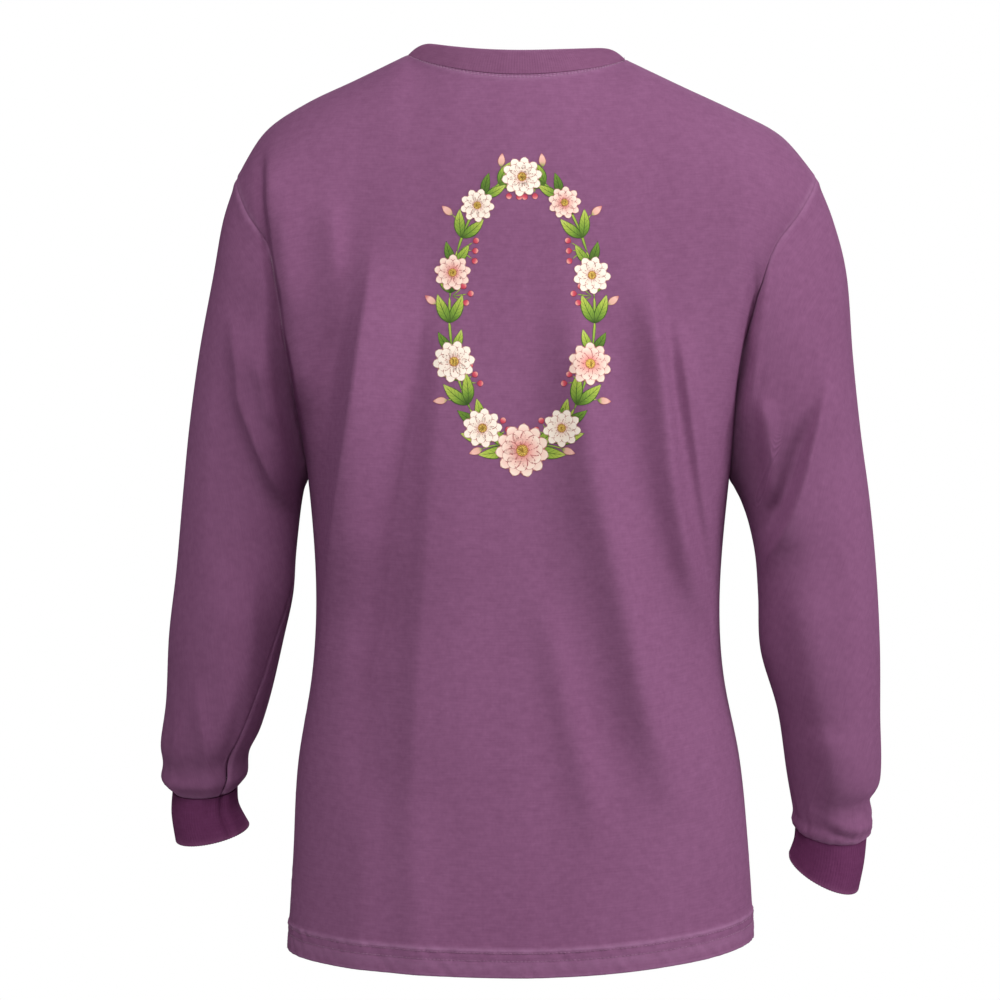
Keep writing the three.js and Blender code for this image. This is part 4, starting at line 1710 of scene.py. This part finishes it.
@dataclass(frozen=True)
class Blade:
    """A printed shape with a root, a tip and a curved middle line: a petal, leaf, bud or stem.

    Attributes:
        root: Where it starts, (x, z) in mm.
        heading: The way it sets off, in degrees from straight up, clockwise.
        length: In mm.
        half: Half its greatest width, in mm.
        fullest: Where along it that is, from 0 to 1.
        bend: How far its heading turns on the way, in degrees.
        layer: Which layer of ink it is in, from 0.
        blunt: How blunt its tip is; 1 is pointed.
    """

    root: tuple[float, float]
    heading: float
    length: float
    half: float
    fullest: float = 0.45
    bend: float = 0.0
    layer: int = 0
    blunt: float = 1.0

    def outline(self, v: Points) -> Points:
        """Half the width at a share of the length, as a share of the greatest.

        Args:
            v: Shares of the length.

        Returns:
            The shares of the greatest width.
        """
        before = np.sin(np.clip(v / self.fullest, 0, 1) * math.pi / 2) ** 0.8
        after = np.cos(np.clip((v - self.fullest) / (1 - self.fullest), 0, 1) * math.pi / 2)
        return np.where(v < self.fullest, before, after ** (1 / self.blunt))

    def flat(self, across: int, steps: int) -> tuple[Points, Points]:
        """The shape as a flat grid of places (x, z), and its UV.

        Args:
            across: Steps across it.
            steps: Steps along it.

        Returns:
            The places in mm, and the UV.
        """
        v = np.linspace(0, 1, steps + 1)
        angle = np.radians(self.heading + self.bend * v)
        step = self.length / steps
        x = self.root[0] + np.concatenate([[0], np.cumsum(np.sin(angle[:-1]) * step)])
        z = self.root[1] + np.concatenate([[0], np.cumsum(np.cos(angle[:-1]) * step)])
        u = np.linspace(-1, 1, across + 1)
        half = np.maximum(self.outline(v), 0.02) * self.half
        places = np.stack([
            x[:, None] + np.cos(angle)[:, None] * half[:, None] * u,
            z[:, None] - np.sin(angle)[:, None] * half[:, None] * u,
        ], axis=-1)
        uv = np.stack(np.meshgrid((u + 1) / 2, v), axis=-1)
        return places, uv


ROSE, BLUSH, CREAM = (0.50, 0.045, 0.075), (0.86, 0.50, 0.43), (0.93, 0.78, 0.66)
LIME, LEAF_GREEN, PINE = (0.42, 0.52, 0.075), (0.17, 0.30, 0.035), (0.035, 0.075, 0.012)
PETAL_INK = InkFinish(
    "petal_ink", ((0.0, ROSE), (0.22, (0.78, 0.27, 0.24)), (0.5, BLUSH), (1.0, CREAM)),
    (0.42, 0.11, 0.11), edge=0.17)
PALE_PETAL_INK = InkFinish(
    "pale_petal_ink", ((0.0, ROSE), (0.16, BLUSH), (0.45, CREAM), (1.0, (0.95, 0.86, 0.75))),
    (0.45, 0.17, 0.14), edge=0.17)
HEART_INK = InkFinish(
    "blossom_heart_ink",
    ((0.0, (0.70, 0.42, 0.06)), (0.6, (0.80, 0.55, 0.12)), (1.0, (0.45, 0.12, 0.03))),
    (0.20, 0.03, 0.02), edge=0.25)
LEAF_INK = InkFinish(
    "leaf_ink", ((0.0, PINE), (0.3, LEAF_GREEN), (0.75, LIME), (1.0, (0.56, 0.62, 0.16))),
    PINE, veins=7, slant=0.22, edge=0.15)
DARK_LEAF_INK = InkFinish(
    "dark_leaf_ink", ((0.0, PINE), (0.5, (0.10, 0.19, 0.025)), (1.0, LEAF_GREEN)),
    (0.02, 0.04, 0.008), veins=6, slant=0.22, edge=0.12)
STEM_INK = InkFinish(
    "stem_ink", ((0.0, LEAF_GREEN), (0.5, (0.30, 0.42, 0.06)), (1.0, LIME)), PINE, edge=0.35)
BUD_INK = InkFinish(
    "bud_ink",
    ((0.0, LEAF_GREEN), (0.28, (0.74, 0.42, 0.32)), (0.7, BLUSH), (1.0, (0.62, 0.18, 0.17))),
    (0.35, 0.08, 0.08), edge=0.16)
BERRY_INK = InkFinish(
    "berry_ink",
    ((0.0, (0.36, 0.03, 0.06)), (0.5, (0.62, 0.08, 0.12)), (1.0, (0.85, 0.42, 0.36))),
    (0.16, 0.01, 0.03), edge=0.14)


@dataclass
class Garland:
    """An oval garland of daisies, buds, berries and laurel leaves, printed on the back.

    Attributes:
        middle: Centre of the oval, (x, z) in mm.
        half_width: From the centre to the branch at the sides, in mm.
        half_height: From the centre to the branch at the top, in mm.
        lowest: How far the first layer of ink stands off the cloth, in mm.
        layer: From one layer of ink to the next, in mm.
    """

    middle: tuple[float, float] = (1, -211)
    half_width: float = 56
    half_height: float = 106
    lowest: float = 0.2
    layer: float = 0.05

    def on_oval(self, degrees: float, out: float = 0.0) -> tuple[float, float]:
        """A place on the branch, by the angle from the top and the distance outside it.

        Args:
            degrees: The angle, clockwise.
            out: The distance, in mm.

        Returns:
            The place (x, z), in mm.
        """
        a = math.radians(degrees)
        return (
            self.middle[0] + (self.half_width + out) * math.sin(a),
            self.middle[1] + (self.half_height + out) * math.cos(a),
        )

    def heading(self, degrees: float) -> float:
        """The direction outwards from the oval, in degrees from straight up."""
        a = math.radians(degrees)
        over, up = math.sin(a) / self.half_width, math.cos(a) / self.half_height
        return math.degrees(math.atan2(over, up))

    def daisy(self, at: float, radius: float, petals: int, tilt: float, layer: int) -> list[Blade]:
        """The petals of one open blossom.

        Args:
            at: Its place on the oval, in degrees.
            radius: Its radius, in mm.
            petals: How many each ring has.
            tilt: How far it is turned, in degrees.
            layer: The layer of ink of its outer ring.

        Returns:
            The petals.
        """
        x, z = self.on_oval(at)
        made = []
        for ring, reach, count in ((0, 1.0, petals), (1, 0.78, petals)):
            for k in range(count):
                heading = tilt + (k + ring / 2) * 360 / count
                made.append(Blade((x, z), heading, radius * reach, radius * 0.25, 0.66, 0,
                                  layer + ring, 2.2))
        return made

    def petals(self) -> tuple[list[Blade], list[Blade], list[Blade]]:
        """Petals in two inks, and the blossoms' hearts.

        Returns:
            The deep petals, the pale ones and the hearts.
        """
        deep, pale, hearts = [], [], []
        blossoms = (
            (180, 21, 11, 4), (147, 15, 9, 20), (213, 15.5, 9, 8), (112, 17, 10, 0),
            (249, 16.5, 10, 12), (0, 16, 10, 9), (36, 13, 9, 5), (-38, 13.5, 9, 16),
            (74, 15, 9, 14), (287, 14.5, 9, 2),
        )
        for k, (at, radius, count, tilt) in enumerate(blossoms):
            shapes = self.daisy(at, radius, count, tilt, 4 + 3 * (k % 2))
            (deep if k % 3 == 0 else pale).extend(shapes)
            x, z = self.on_oval(at)
            for dot in range(12):
                hearts.append(Blade((x, z), dot * 30 + 11, radius * 0.24, radius * 0.085, 0.6, 0,
                                    11, 2.0))
        return deep, pale, hearts

    def leaves(self) -> tuple[list[Blade], list[Blade]]:
        """Laurel leaves in two inks, on both sides of the branch, pointing up it.

        Returns:
            The light leaves and the dark ones.
        """
        light, dark = [], []
        for side in (-1, 1):
            for k in range(13):
                at = side * (170 - k * 12.6)
                up = self.heading(at) - side * 90
                length = 25 - 0.55 * k + 3 * math.sin(k * 2.3)
                for way in (-1, 1):
                    splay = side * way * (34 + 7 * math.sin(k * 1.7 + way))
                    leaf = Blade(self.on_oval(at), up + splay, length, length * 0.19, 0.42,
                                 -splay * 0.55, 1 + (k + (way > 0)) % 2)
                    (dark if (k + way) % 3 == 0 else light).append(leaf)
        return light, dark

    def sprigs(self) -> tuple[list[Blade], list[Blade], list[Blade]]:
        """Stems, buds and berries.

        Returns:
            The shapes of each.
        """
        stems, buds, berries = [], [], []
        for side in (-1, 1):
            for k in range(17):
                at = side * (176 - k * 10.2)
                nxt = side * (176 - (k + 1) * 10.2)
                (x, z), (x1, z1) = self.on_oval(at), self.on_oval(nxt)
                heading = math.degrees(math.atan2(x1 - x, z1 - z))
                stems.append(Blade((x, z), heading, math.hypot(x1 - x, z1 - z) * 1.12, 1.15, 0.5,
                                   0, 0, 6.0))
            for k, at in enumerate((20, 52, 92, 130, 163)):
                root = self.on_oval(side * at)
                up = self.heading(side * at) - side * (52 - 20 * (k % 2))
                stems.append(Blade(root, up, 15, 0.6, 0.5, side * 12, 1, 5.0))
                tip = (root[0] + 14.5 * math.sin(math.radians(up + side * 6)),
                       root[1] + 14.5 * math.cos(math.radians(up + side * 6)))
                buds.append(Blade(tip, up + side * 12, 11, 2.9, 0.42, 0, 3, 1.1))
            for k, at in enumerate((10, 62, 83, 121, 157)):
                root = self.on_oval(side * at, -2)
                for twig in range(3):
                    up = self.heading(side * at) + 180 + (twig - 1) * 34 + side * 12
                    reach = 9 + 2.5 * ((twig + k) % 2)
                    stems.append(Blade(root, up, reach, 0.45, 0.5, 0, 1, 5.0))
                    end = (root[0] + reach * math.sin(math.radians(up)),
                           root[1] + reach * math.cos(math.radians(up)))
                    berries.append(Blade(end, up, 5.2, 2.5, 0.5, 0, 3, 2.0))
        return stems, buds, berries

    def build(self, wardrobe: Wardrobe, cloth: bpy.types.Object) -> None:
        """Prints every shape on the cloth, one piece for each ink.

        Args:
            wardrobe: The materials.
            cloth: The back panel.
        """
        bm = bmesh.new()
        bm.from_mesh(cloth.data)
        tree = BVHTree.FromBMesh(bm)
        bm.free()
        deep, pale, hearts = self.petals()
        light, dark = self.leaves()
        stems, buds, berries = self.sprigs()
        inks = (
            ("print_stems", STEM_INK, stems, (2, 5)),
            ("print_leaves", LEAF_INK, light, (6, 14)),
            ("print_dark_leaves", DARK_LEAF_INK, dark, (6, 14)),
            ("print_petals", PETAL_INK, deep, (6, 9)),
            ("print_pale_petals", PALE_PETAL_INK, pale, (6, 9)),
            ("print_hearts", HEART_INK, hearts, (4, 4)),
            ("print_buds", BUD_INK, buds, (6, 8)),
            ("print_berries", BERRY_INK, berries, (6, 6)),
        )
        for k, (name, ink, blades, steps) in enumerate(inks):
            piece = self.lay(name, blades, steps, tree)
            nodes = ("print_ink",) if k == 0 else ()
            wardrobe.dress(piece, Finish.PRINT, *nodes, recipe=ink)

    def lay(self, name: str, blades: Sequence[Blade], steps: tuple[int, int],
            tree: BVHTree) -> bpy.types.Object:
        """Lays shapes of one ink on the cloth.

        Args:
            name: The object's name.
            blades: The shapes.
            steps: Steps across and along each.
            tree: The cloth that they lie on.

        Returns:
            The object.
        """
        bm = bmesh.new()
        layer = bm.loops.layers.uv.new("laid_out")
        for blade in blades:
            flat, uv = blade.flat(*steps)
            made = bmesh.ops.create_grid(bm, x_segments=steps[0], y_segments=steps[1], size=0.5)
            stand = (self.lowest + self.layer * blade.layer) * MM
            laid = {}
            for vert in made["verts"]:
                column = round((vert.co.x + 0.5) * steps[0])
                row = round((vert.co.y + 0.5) * steps[1])
                x, z = flat[row, column] * MM
                spot, normal = tree.ray_cast(Vector((x, -1, z)), Vector((0, 1, 0)))[:2]
                vert.co = spot + (-normal if normal.y > 0 else normal) * stand
                laid[vert] = uv[row, column]
            for face in {face for vert in made["verts"] for face in vert.link_faces}:
                for loop in face.loops:
                    loop[layer].uv = laid[loop.vert]
        bm.normal_update()
        turned = [face for face in bm.faces if face.normal.y > 0]
        bmesh.ops.reverse_faces(bm, faces=turned)
        return finished(name, bm)


# ---- The whole shirt ------------------------------------------------------------------------


@dataclass
class Shirt:
    """The shirt, built piece by piece."""

    wardrobe: Wardrobe = field(default_factory=Wardrobe)
    shape: BodyShape = field(default_factory=BodyShape)

    def build(self) -> None:
        """Makes every piece of the shirt."""
        back_piece, back = Panel(Face.BACK, self.shape).build(self.wardrobe, "back_panel_cloth")
        _, front = Panel(Face.FRONT, self.shape, columns=140).build(
            self.wardrobe, "front_panel_cloth")
        self.hem_stitches(back, front)
        Collar(self.shape).build(self.wardrobe, back, front)
        for side in Side:
            self.arm(side, back)
        Garland().build(self.wardrobe, back_piece)

    def hem_stitches(self, back: Cloth, front: Cloth) -> None:
        """The two rows of stitches round the hem.

        Args:
            back: The back panel's grid.
            front: The front panel's grid.
        """
        for height, node in zip(Panel.hem_rows, ("hem_thread_upper", "hem_thread_lower")):
            rows = []
            for cloth in (back, front):
                columns = np.arange(cloth.points.shape[1])
                line, normals = level_line(cloth, cloth.down, height, columns)
                rows.append((Stitching(), line, normals))
            name = node.replace("thread", "stitches")
            self.wardrobe.dress(stitched(name, rows), Finish.THREAD, node)

    def arm(self, side: Side, back: Cloth) -> None:
        """A sleeve, its cuff, and the seams inside that side of the shirt.

        Args:
            side: The side of the wearer.
            back: The back panel's grid.
        """
        _, sleeve = Sleeve(side, self.shape).build(self.wardrobe)
        line = CUFFS[side]
        # The cuffs take the darker rib, whose extra darkness is painted shade.
        cuff = RibBand(f"{side.word}_cuff_band", f"{side.word}_cuff_rib", 80, 18, (0.18, 0.045),
                       seam=1.8, finish=CUFF_RIB_PAINTED_SHADE)
        cuff.build(self.wardrobe, lambda turn, t: line.ring(side, turn + TWIST[side], t))
        self.inner_seam(f"{side.word}_armhole", sleeve.points[0])
        self.inner_seam(f"{side.word}_cuff", sleeve.points[-1], Overlock(width=4, inset=3))
        middle = sleeve.points.mean(axis=1)
        underarm = sleeve.points[4:-8:2, 0]
        self.straight_seam(f"{side.word}_sleeve", underarm, middle[4:-8:2] - underarm)
        edge = 0 if side is Side.LEFT else -1
        body_side = back.points[:, edge]
        below = (back.down[:, edge] > 26) & (body_side[:, 2] < self.shape.underarm - 6)
        seam = body_side[below][::2]
        self.straight_seam(f"{side.word}_side", seam, seam * np.array([-1, 0, 0]))
        s = panel_columns(back.points.shape[1] - 1)
        over = (s * side.value > self.shape.neck_share + 0.02) & (s * side.value < 0.93)
        shoulder = back.points[-1][over]
        down = np.tile([0.0, 0.0, -1.0], (len(shoulder), 1))
        self.straight_seam(f"{side.word}_shoulder", shoulder, down)

    def inner_seam(self, name: str, loop: Points, overlock: Overlock = Overlock()) -> None:
        """An inner seam that goes all round an armhole or cuff."""
        self.straight_seam(name, loop[::2], loop.mean(axis=0) - loop[::2], overlock)

    def straight_seam(self, name: str, line: Points, inward: Points,
                      overlock: Overlock = Overlock()) -> None:
        """An inner seam along a line."""
        piece = overlock.build(f"{name}_overlock", line, inward)
        self.wardrobe.dress(piece, Finish.THREAD, f"{name}_thread")


# ---- The room -------------------------------------------------------------------------------


@dataclass
class Room:
    """The camera, the lights and the floor, in metres.

    Attributes:
        camera_place: Where the camera stands.
        lens: Its focal length, in mm.
        floor_height: How high the floor lies.
        floor_half: Half the length of its side.
        floor_grey: How pale it is.
        world_light: How bright the room is all round.
        lamps: Each lamp's name, place, length of side and power in watts.
    """

    camera_place: tuple[float, float, float] = (-0.016, -3.0, -0.355)
    lens: float = 135
    floor_height: float = -1.45
    floor_half: float = 2.8
    floor_grey: float = 0.62
    world_light: float = 0.17
    lamps: tuple[tuple[str, tuple[float, float, float], float, float], ...] = (
        ("key", (2.4, -0.9, 0.8), 1.1, 20),
        ("low_key", (2.5, -1.1, 0.2), 1.1, 26),
        ("top", (-0.2, -1.7, 1.5), 1.2, 15),
        ("middle", (-0.3, -2.4, 1.5), 1.6, 46),
        ("front", (0.4, 2.6, 1.0), 1.8, 60),
    )

    def build(self) -> None:
        """Makes the room."""
        scene = bpy.context.scene
        scene.view_settings.view_transform = "Standard"
        camera = bpy.data.objects.new("camera", bpy.data.cameras.new("camera"))
        camera.location = self.camera_place
        camera.rotation_euler = (math.pi / 2, 0, 0)
        camera.data.lens = self.lens
        camera.data.sensor_width = 36
        scene.collection.objects.link(camera)
        scene.camera = camera
        for lamp in self.lamps:
            self.light(*lamp)
        self.world(scene)
        self.floor()

    def light(self, name: str, place: tuple[float, float, float], size: float,
              power: float) -> None:
        """A square light that faces the middle of the shirt.

        Args:
            name: Its name.
            place: Where it hangs, in metres.
            size: Length of its side, in metres.
            power: In watts.
        """
        lamp = bpy.data.lights.new(name, "AREA")
        lamp.size = size
        lamp.energy = power
        made = bpy.data.objects.new(name, lamp)
        made.location = place
        aim = Vector((0, 0, -0.36)) - Vector(place)
        made.rotation_euler = aim.to_track_quat("-Z", "Y").to_euler()
        bpy.context.scene.collection.objects.link(made)

    def world(self, scene: bpy.types.Scene) -> None:
        """White all round, softer as light than as backdrop.

        Args:
            scene: The scene that it lights.
        """
        world = bpy.data.worlds.new("studio")
        world.use_nodes = True
        scene.world = world
        nodes, links = world.node_tree.nodes, world.node_tree.links
        shown = nodes["Background"]
        shown.inputs[0].default_value = (1, 1, 1, 1)
        shown.inputs[1].default_value = 1.0
        lit = nodes.new("ShaderNodeBackground")
        lit.inputs[0].default_value = (1, 1, 1, 1)
        lit.inputs[1].default_value = self.world_light
        path = nodes.new("ShaderNodeLightPath")
        choose = nodes.new("ShaderNodeMixShader")
        links.new(path.outputs["Is Camera Ray"], choose.inputs[0])
        links.new(lit.outputs[0], choose.inputs[1])
        links.new(shown.outputs[0], choose.inputs[2])
        links.new(choose.outputs[0], nodes["World Output"].inputs[0])

    def floor(self) -> None:
        """A plain pale floor."""
        bm = bmesh.new()
        bmesh.ops.create_grid(bm, x_segments=1, y_segments=1, size=self.floor_half)
        bmesh.ops.translate(bm, verts=bm.verts, vec=(0, 0, self.floor_height))
        floor = finished("floor", bm)
        graph = Graph("pale_floor")
        graph.settings({"Base Color": (self.floor_grey,) * 3 + (1,), "Roughness": 0.8})
        floor.data.materials.append(graph.material)


def main() -> None:
    """Builds the room and the shirt."""
    Room().build()
    Shirt().build()


if __name__ == "__main__":
    main()
